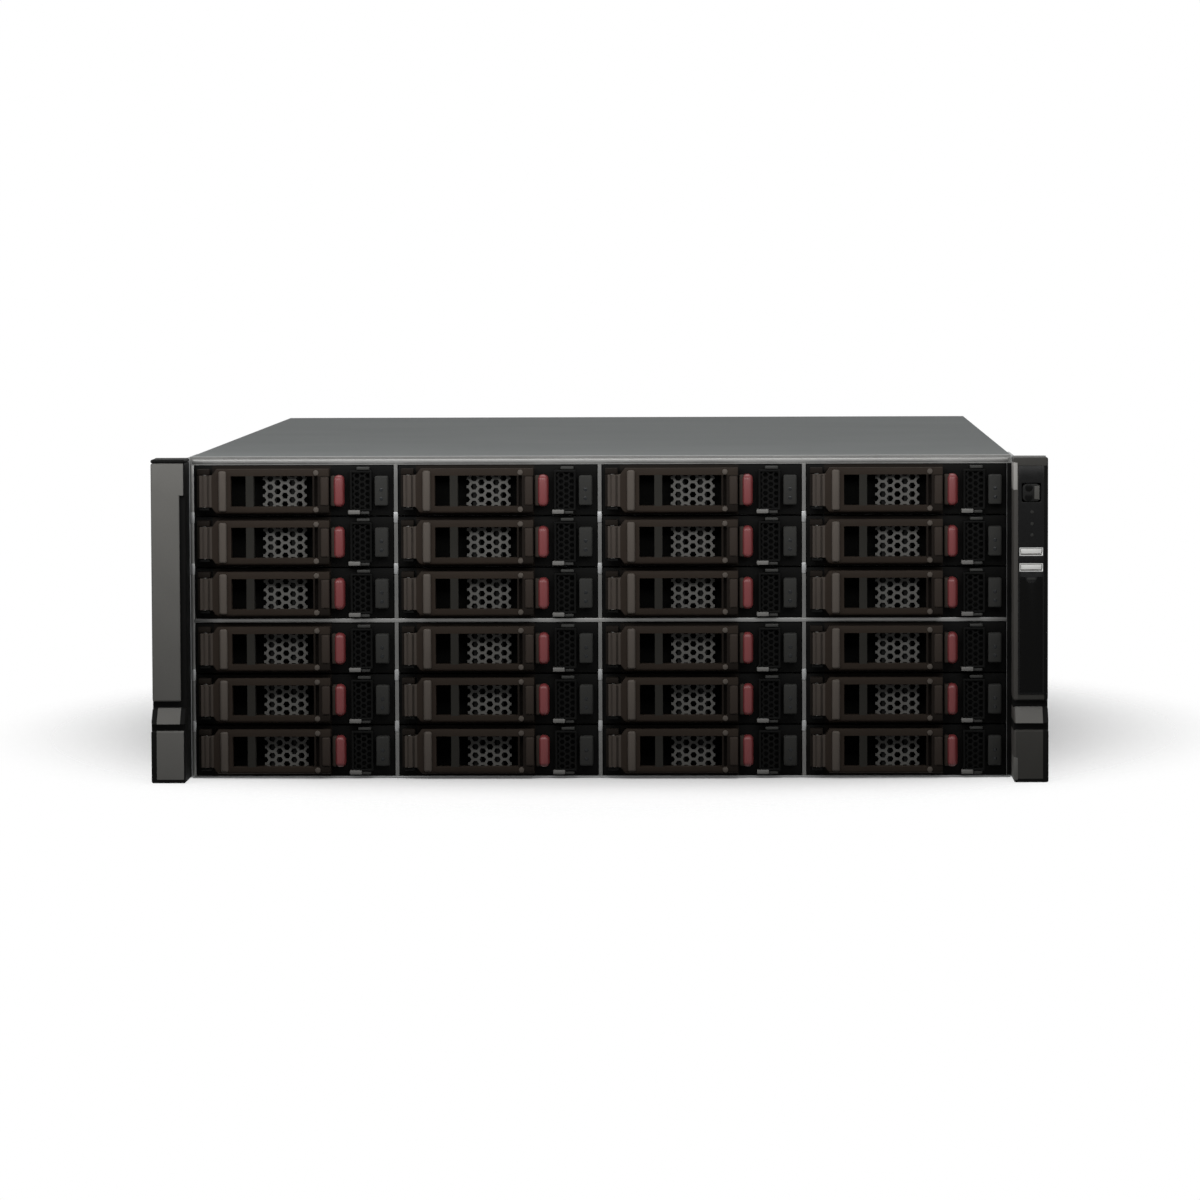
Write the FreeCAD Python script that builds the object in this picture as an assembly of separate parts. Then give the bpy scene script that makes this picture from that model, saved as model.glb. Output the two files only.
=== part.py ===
"""Rack-mounted video surveillance server, four units high, with hot-swap drives across its front.

Millimetres, +Z up, the front faces -Y. While modelling, y = 0 is the front edge of the drive
cage. At export everything moves by Y_SHIFT, so that the origin is the middle of the footprint,
on the surface that the chassis stands on.
"""
import FreeCAD
import Part
import math
import os
from FreeCAD import Vector

# Drive and the room that one bay leaves around it
DRIVE_WIDTH = 101.6
DRIVE_LENGTH = 147.0
DRIVE_HEIGHT = 26.1
DRIVE_FIT = 0.3             # drive to carrier side rail
DRIVE_SETBACK = 6.0         # cage front edge to drive
DRIVE_LIFT = 1.5            # bay floor to drive
ROW_HEADROOM = 0.3          # drive to the underside of the next bay

# Sheet metal of the chassis and the drive cage
SHEET = 1.2
OUTER_WALL = 1.0
DIVIDER = 2.0
MID_SHELF = 2.0
TOP_FRAME = 4.4             # height of the bright strip above the top row
FRAME_DEPTH = 8.0           # depth of that strip, from the cage front to the cover
COLUMNS = 4
ROWS_PER_CAGE = 3
LEDGE_THICK = 1.0
LEDGE_SETBACK = 6.0         # ledges start behind the carrier bezels
CHASSIS_DEPTH = 660.0

# Carrier: two side rails, a front wall and a moulded bezel
RAIL_WALL = 2.3
RAIL_HEIGHT = 24.0
RAIL_LENGTH = 146.0
SLIDE_GAP = 0.9             # side rail to cage wall
LEDGE_GAP = 0.3             # side rail to the ledge that it slides on
TRAY_SHEET = 1.0
BEZEL_GAP = 0.35            # bezel to the bay around it
BEZEL_THICK = 3.0
BEZEL_WINDOW_RIM = 1.2      # air window in the bezel, beyond the lever's windows

# Eject lever and the pieces beside it on the bezel, from left to right
LEVER_INSET = 1.85          # bezel edge to lever
LEVER_MARGIN = 1.6          # lever to the bezel's top and bottom edges
LEVER_THICK = 8.0
LEVER_BACK_GAP = 1.0
GRIP_LENGTH = 10.6          # ribbed hinge end
GRIP_MARGIN = 3.4           # the grip is this much lower than the lever, above and below
GRIP_SLOPE = 2.5            # run of the slope from the grip up to the lever's full height
GRIP_RIBS = 3
RIB_HEIGHT = 0.9            # depth of the grooves between the ribs
RIB_GROOVE = 1.6            # width of those grooves
SHOULDER_WIDTH = 4.4        # bright upright bar beside the grip
SHOULDER_HEIGHT = 1.5
WINDOWS = 4
WINDOW_BAR = 4.0
WINDOW_START = 4.1          # shoulder to first window
WINDOW_RAIL = 3.7           # frame above and below the windows
LEVER_END = 8.9             # last window to the lever's free end
HINGE_INSET = 3.9
HINGE_PIN_R = 1.5
PIN_SIDES = 6               # pins and their bores are many-sided, to keep the model light
HINGE_CLEARANCE = 0.06
HINGE_CHAMFER = 3.0
LUG_HALF_WIDTH = 2.9
LUG_GAP = 0.3
LUG_THICK = 1.5             # lower lug: the upper one fills the corner above the grip
BUTTON_GAP = 0.8            # lever to release button
BUTTON_WIDTH = 7.4
BUTTON_REACH = 8.6          # how far the button stands out of the bezel
BUTTON_MARGIN = 3.4         # the button is this much lower than the lever, above and below
BUTTON_CHAMFER = 1.6
VENT_GAP = 3.0
VENT_WIDTH = 11.9
VENT_HEIGHT = 22.0
VENT_REACH = 5.5
LED_GAP = 1.6
LED_WIDTH = 7.2
LED_REACH = 7.0
LED_HEIGHT = 16.0
LED_INSET = 2.55            # lamp block to bezel edge

# Backplane
BACKPLANE = 2.0
CONNECTOR_DEPTH = 8.0
CONNECTOR_WIDTH = 33.0
CONNECTOR_HEIGHT = 6.0
CONNECTOR_LIFT = 3.0        # bay floor to connector
MATE_GAP = 0.3              # drive to its connector

# Rack ears
EAR_WIDTH = 18.9
EAR_REACH = 25.0            # ear cover ahead of the cage front
EAR_FLANGE = 2.0
EAR_LEG = 55.0              # length of the bracket along the chassis side
EAR_COVER_INSET = 0.4       # strip of bare flange left between cover and chassis
EAR_FOOT_GAP = 0.4          # chassis height left free above and below an ear
EAR_ROUND = 1.6
EAR_HOLE_R = 3.4
EAR_HOLE_INSET = 8.75       # rack hole to the ear's outer edge
EAR_HOLE_RISE = 101.6       # between the two rack holes of one ear
HEAD_ROOM = 14.0            # square pocket for a rack screw's head behind the cover
HEAD_ROOM_DEPTH = 6.0
HANDLE_REACH = 8.0          # pull handle ahead of the ear's face
HANDLE_HEIGHT = 31.0
HANDLE_SLOPE = 10.0
HANDLE_GROOVE = 1.8
GROOVE_DEPTH = 3.0
REBATE_WIDTH = 2.4          # dark step along the inner edge of the left ear's face
REBATE_TOP = 14.0           # where it ends below the ear's top

# Control panel in the right ear
PANEL_INSET = 2.4           # ear cover's inner edge to panel
PANEL_RIM = 2.0             # panel to the ear's outer edge
PANEL_PROUD = 0.6
PANEL_THICK = 3.0
PANEL_TOP = 4.4             # ear's top to panel
PANEL_GAP = 4.0             # panel to the handle's slope
POWER_SIZE = 9.6
POWER_CORNER = 2.4
POWER_DROP = 14.4           # panel's top to the middle of the power button
POWER_GAP = 0.3
POWER_PROUD = 1.0
POWER_LENGTH = 5.0
POWER_TRAVEL = 1.5
USB_RIM = 0.65              # strip of panel left on each side of a port
USB_HEIGHT = 4.6
USB_DROPS = (46.2, 54.7)    # panel's top to the middle of each port
USB_WALL = 0.5
USB_DEPTH = 14.0
USB_TONGUE = 1.8
FLAP_DROP = 59.6            # panel's top to the service flap
FLAP_PROUD = 0.8
FLAP_RIM = 1.0
FLAP_NOTCH_R = 3.2

# Rear wall, from the +X side inwards: power supplies, then ports under the fans, then card slots
PSU_WIDTH = 73.5
PSU_HEIGHT = 39.0
PSU_LENGTH = 185.0
PSU_GAP = 0.3
PSU_BAY_WALL = 1.0
PSU_PROUD = 1.0
PSU_COUNT = 2
PSU_HANDLE_REACH = 27.0
PSU_HANDLE_BAR = 5.0
PSU_HANDLE_MARGIN = 6.0
PSU_HANDLE_WIDTH = 24.0
INLET_WIDTH = 27.0
INLET_HEIGHT = 20.0
INLET_DEPTH = 14.0
INLET_PIN = 4.0
ZONE_GAP = 8.0
PORTS_WIDTH = 158.8
PORT_PANEL_HEIGHT = 52.0    # chassis floor to the seam between ports and fans
PORT_GAP = 0.4
PORT_WALL = 1.0
PORT_DEPTH = 22.0
PORT_SOCKET = 9.0
PORT_SIZES = ((31.0, 12.5), (31.0, 12.5), (14.5, 16.0), (14.5, 16.0), (16.5, 13.5), (16.5, 13.5))
FAN_SIZE = 80.0
FAN_DEPTH = 25.4
FAN_GAP = 3.0
FAN_WALL = 1.6
DUCT_SIDES = 24
FAN_ROOF_GAP = 8.0          # fan to the cover
HUB_R = 17.0
HUB_LENGTH = 18.0
HUB_SETBACK = 1.5           # hub to the stator plate
BLADES = 7
BLADE_TIP_GAP = 1.0
BLADE_THICK = 1.6
BLADE_CHORD_ROOT = 13.0
BLADE_CHORD_TIP = 20.0
BLADE_PITCH = 42.0          # degrees from the plane of rotation
SHAFT_R = 1.5
SHAFT_CLEARANCE = 0.06
SHAFT_LENGTH = 14.0
STATOR_SIZE = 26.0
STATOR_THICK = 3.0
STRUT_WIDTH = 4.0
SLOT_COUNT = 7
SLOT_PITCH = 20.32
SLOT_WIDTH = 13.0
SLOT_HEIGHT = 105.0
SLOT_LIFT = 12.0
SLOT_COVER = 0.8            # sheet of the blank covers
SLOT_COVER_RIM = 2.6
VENT_SLOT_WIDTH = 6.0
VENT_SLOT_PITCH = 12.0
VENT_MARGIN = 9.0

# Main board
BOARD_THICK = 1.6
BOARD_DEPTH = 244.0
BOARD_LIFT = 6.5            # chassis floor to board
BOARD_GAP = 1.5             # board to the rear wall
STANDOFF_R = 3.0
STANDOFF_SIDES = 6
STANDOFF_INSET = 8.0
SINK_SIZE = 92.0
SINK_BASE = 8.0
SINK_HEIGHT = 62.0
SINK_FINS = 10
SINK_FIN = 1.6
SINK_SETBACK = 92.0         # board's rear edge to heat sink
MEMORY_COUNT = 4
MEMORY_LENGTH = 133.0
MEMORY_HEIGHT = 34.0
MEMORY_THICK = 5.0
MEMORY_PITCH = 9.5
MEMORY_GAP = 12.0           # heat sink to first memory module

# Cover
COVER_GAP = 0.3
COVER_FLANGE = 12.0
COVER_LIP = 16.0
COVER_LIP_INSET = 18.0
RAIL_HOLE_R = 2.0           # inner slide rails screw to the chassis sides
RAIL_HOLE_SPACING = 400.0
RAIL_HOLE_START = 200.0     # cage front to the first rail hole, behind the drive cage

# Sizes that follow from those above
ROWS = 2 * ROWS_PER_CAGE
BAY_WIDTH = DRIVE_WIDTH + 2 * (DRIVE_FIT + RAIL_WALL + SLIDE_GAP)
ROW_PITCH = DRIVE_LIFT + DRIVE_HEIGHT + ROW_HEADROOM
INNER_HALF = (COLUMNS * BAY_WIDTH + (COLUMNS - 1) * DIVIDER) / 2 + OUTER_WALL
CHASSIS_HALF = INNER_HALF + SHEET
CHASSIS_HEIGHT = SHEET + ROWS * ROW_PITCH + MID_SHELF + TOP_FRAME
ROOF = CHASSIS_HEIGHT - SHEET
MID_SHELF_Z = SHEET + ROWS_PER_CAGE * ROW_PITCH
CAGE_DEPTH = DRIVE_SETBACK + DRIVE_LENGTH + MATE_GAP + CONNECTOR_DEPTH
ROW_MIDDLE = ROW_PITCH / 2

BEZEL_LEFT = BEZEL_GAP
BEZEL_RIGHT = BAY_WIDTH - BEZEL_GAP
LED_RIGHT = BEZEL_RIGHT - LED_INSET
VENT_RIGHT = LED_RIGHT - LED_WIDTH - LED_GAP
BUTTON_RIGHT = VENT_RIGHT - VENT_WIDTH - VENT_GAP
LEVER_LEFT = BEZEL_LEFT + LEVER_INSET
LEVER_RIGHT = BUTTON_RIGHT - BUTTON_WIDTH - BUTTON_GAP
LEVER_HALF = ROW_PITCH / 2 - BEZEL_GAP - LEVER_MARGIN
LEVER_FRONT = -LEVER_BACK_GAP - LEVER_THICK
GRIP_HALF = LEVER_HALF - GRIP_MARGIN
WINDOW_LEFT = LEVER_LEFT + GRIP_LENGTH + SHOULDER_WIDTH + WINDOW_START
WINDOW_RIGHT = LEVER_RIGHT - LEVER_END
WINDOW_HALF = LEVER_HALF - WINDOW_RAIL
WINDOW_WIDTH = (WINDOW_RIGHT - WINDOW_LEFT - (WINDOWS - 1) * WINDOW_BAR) / WINDOWS
HINGE_X = LEVER_LEFT + HINGE_INSET
HINGE_Y = (LEVER_FRONT - LEVER_BACK_GAP) / 2

EAR_INNER = CHASSIS_HALF
EAR_OUTER = CHASSIS_HALF + EAR_WIDTH
EAR_BOTTOM = EAR_FOOT_GAP
EAR_TOP = CHASSIS_HEIGHT - EAR_FOOT_GAP
COVER_INNER = EAR_INNER + EAR_COVER_INSET
HANDLE_TOP = HANDLE_HEIGHT + HANDLE_SLOPE
PANEL_LEFT = COVER_INNER + PANEL_INSET
PANEL_RIGHT = EAR_OUTER - PANEL_RIM
PANEL_Z = EAR_TOP - PANEL_TOP
PANEL_FOOT = HANDLE_TOP + PANEL_GAP
PANEL_FRONT = -EAR_REACH - PANEL_PROUD
POWER_X = (PANEL_LEFT + PANEL_RIGHT) / 2
POWER_Z = PANEL_Z - POWER_DROP

REAR_INNER = CHASSIS_DEPTH - SHEET
PSU_RIGHT = INNER_HALF - PSU_GAP
PSU_LEFT = PSU_RIGHT - PSU_WIDTH
PSU_FRONT = CHASSIS_DEPTH + PSU_PROUD - PSU_LENGTH
PSU_PITCH = PSU_HEIGHT + 2 * PSU_GAP + PSU_BAY_WALL
PSU_BAY_TOP = SHEET + PSU_COUNT * PSU_PITCH
PARTITION_RIGHT = PSU_LEFT - PSU_GAP
PARTITION_LEFT = PARTITION_RIGHT - PSU_BAY_WALL
MIDDLE_RIGHT = PARTITION_LEFT - ZONE_GAP
MIDDLE_LEFT = MIDDLE_RIGHT - max(PORTS_WIDTH, 2 * FAN_SIZE + FAN_GAP)
PORT_PANEL_TOP = SHEET + PORT_PANEL_HEIGHT
SLOTS_RIGHT = MIDDLE_LEFT - ZONE_GAP
SLOTS_LEFT = SLOTS_RIGHT - SLOT_COUNT * SLOT_PITCH
FAN_Z = ROOF - FAN_ROOF_GAP - FAN_SIZE / 2
FAN_FRONT = REAR_INNER - FAN_DEPTH
FAN_BORE = FAN_SIZE / 2 - FAN_WALL
FAN_CENTRES = [MIDDLE_RIGHT - FAN_SIZE / 2 - i * (FAN_SIZE + FAN_GAP) for i in range(2)]
BOARD_Z = SHEET + BOARD_LIFT
BOARD_TOP = BOARD_Z + BOARD_THICK
BOARD_REAR = REAR_INNER - BOARD_GAP
BOARD_FRONT = BOARD_REAR - BOARD_DEPTH

Y_FRONT = -EAR_REACH - HANDLE_REACH
Y_REAR = CHASSIS_DEPTH + PSU_PROUD + PSU_HANDLE_REACH
Y_SHIFT = -(Y_FRONT + Y_REAR) / 2


def block(x, y, z):
    """A box between the low and high values given for each axis."""
    return Part.makeBox(x[1] - x[0], y[1] - y[0], z[1] - z[0], Vector(x[0], y[0], z[0]))


def prism(axis, points, start, stop):
    """A straight prism along one axis. Points are (y, z), (x, z) or (x, y) pairs, in that order."""
    place = {
        "x": lambda a, b: Vector(start, a, b),
        "y": lambda a, b: Vector(a, start, b),
        "z": lambda a, b: Vector(a, b, start),
    }[axis]
    corners = [place(a, b) for a, b in points]
    face = Part.Face(Part.makePolygon(corners + corners[:1]))
    run = {"x": Vector(1, 0, 0), "y": Vector(0, 1, 0), "z": Vector(0, 0, 1)}[axis]
    return face.extrude(run * (stop - start))


def rod(radius, length, base, direction):
    return Part.makeCylinder(radius, length, Vector(*base), Vector(*direction))


def polygon(sides, radius, x, y):
    """Corners of a regular polygon at a radius around a point."""
    turns = [(i + 0.5) * 2 * math.pi / sides for i in range(sides)]
    return [(x + radius * math.cos(t), y + radius * math.sin(t)) for t in turns]


def corner_radius(sides, flat_radius):
    """Corner radius of a regular polygon whose flats lie at a radius."""
    return flat_radius / math.cos(math.pi / sides)


def merged(shapes):
    """One solid from pieces that touch or overlap."""
    return shapes[0].multiFuse(shapes[1:]).removeSplitter()


def mirrored(shape):
    """The same piece for the other side of the chassis."""
    return shape.mirror(Vector(0, 0, 0), Vector(1, 0, 0))


def around(middle, half):
    return (middle - half, middle + half)


def bay_corner(row, column):
    """Left, bottom corner of a bay. Rows count down from the top, columns from the left."""
    from_floor = ROWS - 1 - row
    shelf = MID_SHELF if from_floor >= ROWS_PER_CAGE else 0
    x = -INNER_HALF + OUTER_WALL + column * (BAY_WIDTH + DIVIDER)
    return Vector(x, 0, SHEET + from_floor * ROW_PITCH + shelf)


# Drive carrier, modelled in its bay's own corner


def lever_windows():
    """Low and high x of each window in the lever."""
    starts = [WINDOW_LEFT + i * (WINDOW_WIDTH + WINDOW_BAR) for i in range(WINDOWS)]
    return [(x, x + WINDOW_WIDTH) for x in starts]


def drive():
    """Closed drive between the side rails of its carrier."""
    left = SLIDE_GAP + RAIL_WALL + DRIVE_FIT
    return block(
        (left, left + DRIVE_WIDTH), (DRIVE_SETBACK, DRIVE_SETBACK + DRIVE_LENGTH),
        (DRIVE_LIFT, DRIVE_LIFT + DRIVE_HEIGHT))


def carrier_tray():
    """Folded tray: a rail along each side of the drive, joined by a strip under the air window."""
    low = LEDGE_THICK + LEDGE_GAP
    z = (low, low + RAIL_HEIGHT)
    y = (BEZEL_THICK, BEZEL_THICK + RAIL_LENGTH)
    left, right = SLIDE_GAP, BAY_WIDTH - SLIDE_GAP
    strip = block(
        (left, right), (BEZEL_THICK, BEZEL_THICK + TRAY_SHEET),
        (low, ROW_MIDDLE - WINDOW_HALF - BEZEL_WINDOW_RIM))
    return merged([block((left, left + RAIL_WALL), y, z), block((right - RAIL_WALL, right), y, z), strip])


def bezel():
    """Moulded front plate with hinge lugs and pin, an air window, a vent and a lamp block."""
    plate = block((BEZEL_LEFT, BEZEL_RIGHT), (0, BEZEL_THICK), (BEZEL_GAP, ROW_PITCH - BEZEL_GAP))
    window = block(
        (WINDOW_LEFT - BEZEL_WINDOW_RIM, WINDOW_RIGHT + BEZEL_WINDOW_RIM),
        (0, BEZEL_THICK),
        around(ROW_MIDDLE, WINDOW_HALF + BEZEL_WINDOW_RIM),
    )
    lug_low = GRIP_HALF + LUG_GAP
    lug_left, lug_right = around(HINGE_X, LUG_HALF_WIDTH)
    lug_y = (HINGE_Y - LUG_HALF_WIDTH, 0)
    upper_lug = block((LEVER_LEFT, lug_right), lug_y, (ROW_MIDDLE + lug_low, ROW_MIDDLE + LEVER_HALF))
    lower_z = ROW_MIDDLE - lug_low
    lower_lug = block((lug_left, lug_right), lug_y, (lower_z - LUG_THICK, lower_z))
    section = polygon(PIN_SIDES, HINGE_PIN_R, HINGE_X, HINGE_Y)
    pin = prism("z", section, ROW_MIDDLE - lug_low, ROW_MIDDLE + lug_low)
    vent_x = (VENT_RIGHT - VENT_WIDTH, VENT_RIGHT)
    vent = block(vent_x, (-VENT_REACH, 0), around(ROW_MIDDLE, VENT_HEIGHT / 2))
    lamps_x = (LED_RIGHT - LED_WIDTH, LED_RIGHT)
    lamps = block(lamps_x, (-LED_REACH, 0), around(ROW_MIDDLE, LED_HEIGHT / 2))
    return merged([plate.cut(window), upper_lug, lower_lug, pin, vent, lamps])


def release_button():
    """Bar that is pushed to free the lever, with its front edges taken off."""
    left, right = BUTTON_RIGHT - BUTTON_WIDTH, BUTTON_RIGHT
    front, slope = -BUTTON_REACH, -BUTTON_REACH + BUTTON_CHAMFER
    outline = [
        (left, 0), (left, slope), (left + BUTTON_CHAMFER, front),
        (right - BUTTON_CHAMFER, front), (right, slope), (right, 0),
    ]
    half = LEVER_HALF - BUTTON_MARGIN
    return prism("z", outline, ROW_MIDDLE - half, ROW_MIDDLE + half)


def eject_lever():
    """Windowed handle that turns about the pin at its ribbed end and levers the carrier out."""
    grip_end = LEVER_LEFT + GRIP_LENGTH
    upper = [(LEVER_LEFT, GRIP_HALF), (grip_end - GRIP_SLOPE, GRIP_HALF), (grip_end, LEVER_HALF),
             (LEVER_RIGHT, LEVER_HALF)]
    outline = upper + [(x, -z) for x, z in reversed(upper)]
    body = prism("y", [(x, ROW_MIDDLE + z) for x, z in outline], LEVER_FRONT, -LEVER_BACK_GAP)
    shoulder = block(
        (grip_end, grip_end + SHOULDER_WIDTH),
        (LEVER_FRONT - SHOULDER_HEIGHT, LEVER_FRONT),
        around(ROW_MIDDLE, LEVER_HALF),
    )
    lever = merged([body, shoulder])
    for i in range(1, GRIP_RIBS):
        x = LEVER_LEFT + i * (GRIP_LENGTH - GRIP_SLOPE) / GRIP_RIBS
        left, right = around(x, RIB_GROOVE / 2)
        groove = [(left, LEVER_FRONT), (x, LEVER_FRONT + RIB_HEIGHT), (right, LEVER_FRONT)]
        lever = lever.cut(prism("z", groove, ROW_MIDDLE - LEVER_HALF, ROW_MIDDLE + LEVER_HALF))
    for x in lever_windows():
        lever = lever.cut(block(x, (LEVER_FRONT, -LEVER_BACK_GAP), around(ROW_MIDDLE, WINDOW_HALF)))
    corner = [
        (LEVER_LEFT, -LEVER_BACK_GAP), (LEVER_LEFT + HINGE_CHAMFER, -LEVER_BACK_GAP),
        (LEVER_LEFT, -LEVER_BACK_GAP - HINGE_CHAMFER),
    ]
    lever = lever.cut(prism("z", corner, ROW_MIDDLE - LEVER_HALF, ROW_MIDDLE + LEVER_HALF))
    section = polygon(PIN_SIDES, corner_radius(PIN_SIDES, HINGE_PIN_R + HINGE_CLEARANCE), HINGE_X, HINGE_Y)
    return lever.cut(prism("z", section, 0, ROW_PITCH))


# Drive cage


def divider_wall(x, bottom, left_ledges, right_ledges):
    """Upright sheet of one cage, with a ledge under each carrier that runs along it."""
    reach = SLIDE_GAP + RAIL_WALL
    wall = block(x, (0, CAGE_DEPTH), (bottom, bottom + ROWS_PER_CAGE * ROW_PITCH))
    ledges = []
    for row in range(ROWS_PER_CAGE):
        z = bottom + row * ROW_PITCH
        left = [(x[0] - reach, x[0])] if left_ledges else []
        right = [(x[1], x[1] + reach)] if right_ledges else []
        for side in left + right:
            ledges.append(block(side, (LEDGE_SETBACK, CAGE_DEPTH), (z, z + LEDGE_THICK)))
    return merged([wall] + ledges)


def drive_cage():
    """Two stacked cages of upright dividers on the floor and on a middle shelf, under a front strip."""
    pieces = []
    for bottom in (SHEET, MID_SHELF_Z + MID_SHELF):
        pieces.append(divider_wall((-INNER_HALF, -INNER_HALF + OUTER_WALL), bottom, False, True))
        for column in range(1, COLUMNS):
            x = bay_corner(0, column).x
            pieces.append(divider_wall((x - DIVIDER, x), bottom, True, True))
        pieces.append(divider_wall((INNER_HALF - OUTER_WALL, INNER_HALF), bottom, True, False))
    pieces.append(block(
        (-INNER_HALF, INNER_HALF), (0, CAGE_DEPTH), (MID_SHELF_Z, MID_SHELF_Z + MID_SHELF)))
    under = CHASSIS_HEIGHT - TOP_FRAME
    strip = block((-CHASSIS_HALF, CHASSIS_HALF), (0, FRAME_DEPTH), (under, CHASSIS_HEIGHT))
    lid = block((-INNER_HALF, INNER_HALF), (FRAME_DEPTH, CAGE_DEPTH), (under, under + OUTER_WALL))
    pieces.append(merged([strip, lid]))
    return Part.makeCompound(pieces)


# Chassis base and cover


def floor_and_sides():
    """Floor sheet with the two side sheets standing on its edges."""
    under = CHASSIS_HEIGHT - TOP_FRAME
    floor = block((-CHASSIS_HALF, CHASSIS_HALF), (0, CHASSIS_DEPTH), (0, SHEET))
    side = [
        (0, SHEET), (CHASSIS_DEPTH, SHEET), (CHASSIS_DEPTH, ROOF),
        (FRAME_DEPTH, ROOF), (FRAME_DEPTH, under), (0, under),
    ]
    right = prism("x", side, INNER_HALF, CHASSIS_HALF).cut(rail_holes())
    return [floor, mirrored(right), right]


def rail_holes():
    """Screw holes for the inner slide rail in the right side."""
    ys = (RAIL_HOLE_START, RAIL_HOLE_START + RAIL_HOLE_SPACING)
    return [rod(RAIL_HOLE_R, SHEET, (INNER_HALF, y, CHASSIS_HEIGHT / 2), (1, 0, 0)) for y in ys]


def rear_panels():
    """Panels of the rear wall: card slots, fans above ports, and the one above the supplies."""
    y = (REAR_INNER, CHASSIS_DEPTH)
    seam = SLOTS_RIGHT + ZONE_GAP / 2
    above_slots = (SLOT_LIFT + SLOT_HEIGHT + VENT_MARGIN, ROOF - VENT_MARGIN)
    above_supplies = (PSU_BAY_TOP + VENT_MARGIN, ROOF - VENT_MARGIN)
    slots = [
        block(around(x, SLOT_WIDTH / 2), y, (SLOT_LIFT, SLOT_LIFT + SLOT_HEIGHT)) for x in slot_middles()]
    slots += vent_slots((SLOTS_LEFT, SLOTS_RIGHT), y, above_slots)
    slot_panel = block((-INNER_HALF, seam), y, (SHEET, ROOF)).cut(slots)
    ducts = [fan_duct(x, REAR_INNER, CHASSIS_DEPTH) for x in FAN_CENTRES]
    fan_panel = block((seam, PARTITION_RIGHT), y, (PORT_PANEL_TOP, ROOF)).cut(ducts)
    holes = []
    for x, z in port_boxes():
        hole_x = (x[0] - PORT_GAP, x[1] + PORT_GAP)
        hole_z = (z[0] - PORT_GAP, z[1] + PORT_GAP)
        holes.append(block(hole_x, y, hole_z))
    port_panel = block((seam, PARTITION_RIGHT), y, (SHEET, PORT_PANEL_TOP)).cut(holes)
    supply_x = (PARTITION_RIGHT, INNER_HALF)
    vents = vent_slots((supply_x[0] + VENT_MARGIN, supply_x[1] - VENT_MARGIN), y, above_supplies)
    supply_panel = block(supply_x, y, (PSU_BAY_TOP - PSU_BAY_WALL, ROOF)).cut(vents)
    return [slot_panel, fan_panel, port_panel, supply_panel]


def slot_middles():
    """X of the middle of each card slot."""
    return [SLOTS_RIGHT - (i + 0.5) * SLOT_PITCH for i in range(SLOT_COUNT)]


def fan_duct(x, start, stop):
    """Many-sided air duct of a fan, from one y to another."""
    return prism("y", polygon(DUCT_SIDES, corner_radius(DUCT_SIDES, FAN_BORE), x, FAN_Z), start, stop)


def vent_slots(x, y, z):
    """A row of upright slots that fills a field of the rear wall."""
    count = int((x[1] - x[0]) // VENT_SLOT_PITCH)
    start = (x[0] + x[1] - (count - 1) * VENT_SLOT_PITCH) / 2
    middles = [start + i * VENT_SLOT_PITCH for i in range(count)]
    return [block(around(m, VENT_SLOT_WIDTH / 2), y, z) for m in middles]


def psu_bay():
    """Partition, shelf and roof that the power supplies slide between."""
    y = (PSU_FRONT, REAR_INNER)
    partition = block((PARTITION_LEFT, PARTITION_RIGHT), y, (SHEET, PSU_BAY_TOP))
    shelves = []
    for i in range(1, PSU_COUNT + 1):
        top = SHEET + i * PSU_PITCH
        shelves.append(block((PARTITION_RIGHT, INNER_HALF), y, (top - PSU_BAY_WALL, top)))
    return merged([partition] + shelves)


def slot_covers():
    """Blank plates that close the unused card slots from inside."""
    y = (REAR_INNER - SLOT_COVER, REAR_INNER)
    half = SLOT_WIDTH / 2 + SLOT_COVER_RIM
    z = (SLOT_LIFT - SLOT_COVER_RIM, SLOT_LIFT + SLOT_HEIGHT + SLOT_COVER_RIM)
    return [block(around(x, half), y, z) for x in slot_middles()]


def standoffs():
    """Six-sided posts that carry the main board."""
    board_x = board_span()
    xs = (board_x[0] + STANDOFF_INSET, sum(board_x) / 2, board_x[1] - STANDOFF_INSET)
    ys = (BOARD_FRONT + STANDOFF_INSET, BOARD_REAR - STANDOFF_INSET - PORT_DEPTH)
    posts = []
    for x in xs:
        for y in ys:
            posts.append(prism("z", polygon(STANDOFF_SIDES, STANDOFF_R, x, y), SHEET, BOARD_Z))
    return posts


def chassis_base():
    return Part.makeCompound(
        floor_and_sides() + rear_panels() + [psu_bay()] + slot_covers() + standoffs())


def top_cover():
    """Flat lid on the chassis walls, with flanges inside them and a lip behind the rear wall."""
    plate = block(
        (-CHASSIS_HALF, CHASSIS_HALF),
        (FRAME_DEPTH + COVER_GAP, CHASSIS_DEPTH + COVER_GAP + SHEET),
        (ROOF, CHASSIS_HEIGHT),
    )
    flange_y = (CAGE_DEPTH + BACKPLANE + FRAME_DEPTH, REAR_INNER - FRAME_DEPTH)
    right = block(
        (INNER_HALF - COVER_GAP - SHEET, INNER_HALF - COVER_GAP), flange_y, (ROOF - COVER_FLANGE, ROOF))
    lip_half = CHASSIS_HALF - COVER_LIP_INSET
    lip = block(
        (-lip_half, lip_half),
        (CHASSIS_DEPTH + COVER_GAP, CHASSIS_DEPTH + COVER_GAP + SHEET),
        (CHASSIS_HEIGHT - COVER_LIP, ROOF),
    )
    return merged([plate, right, mirrored(right), lip])


# Rack ears


def rack_hole_places():
    """Middles of the right ear's two rack holes, as x and z."""
    x = EAR_OUTER - EAR_HOLE_INSET
    return [(x, z) for z in around(CHASSIS_HEIGHT / 2, EAR_HOLE_RISE / 2)]


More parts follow.
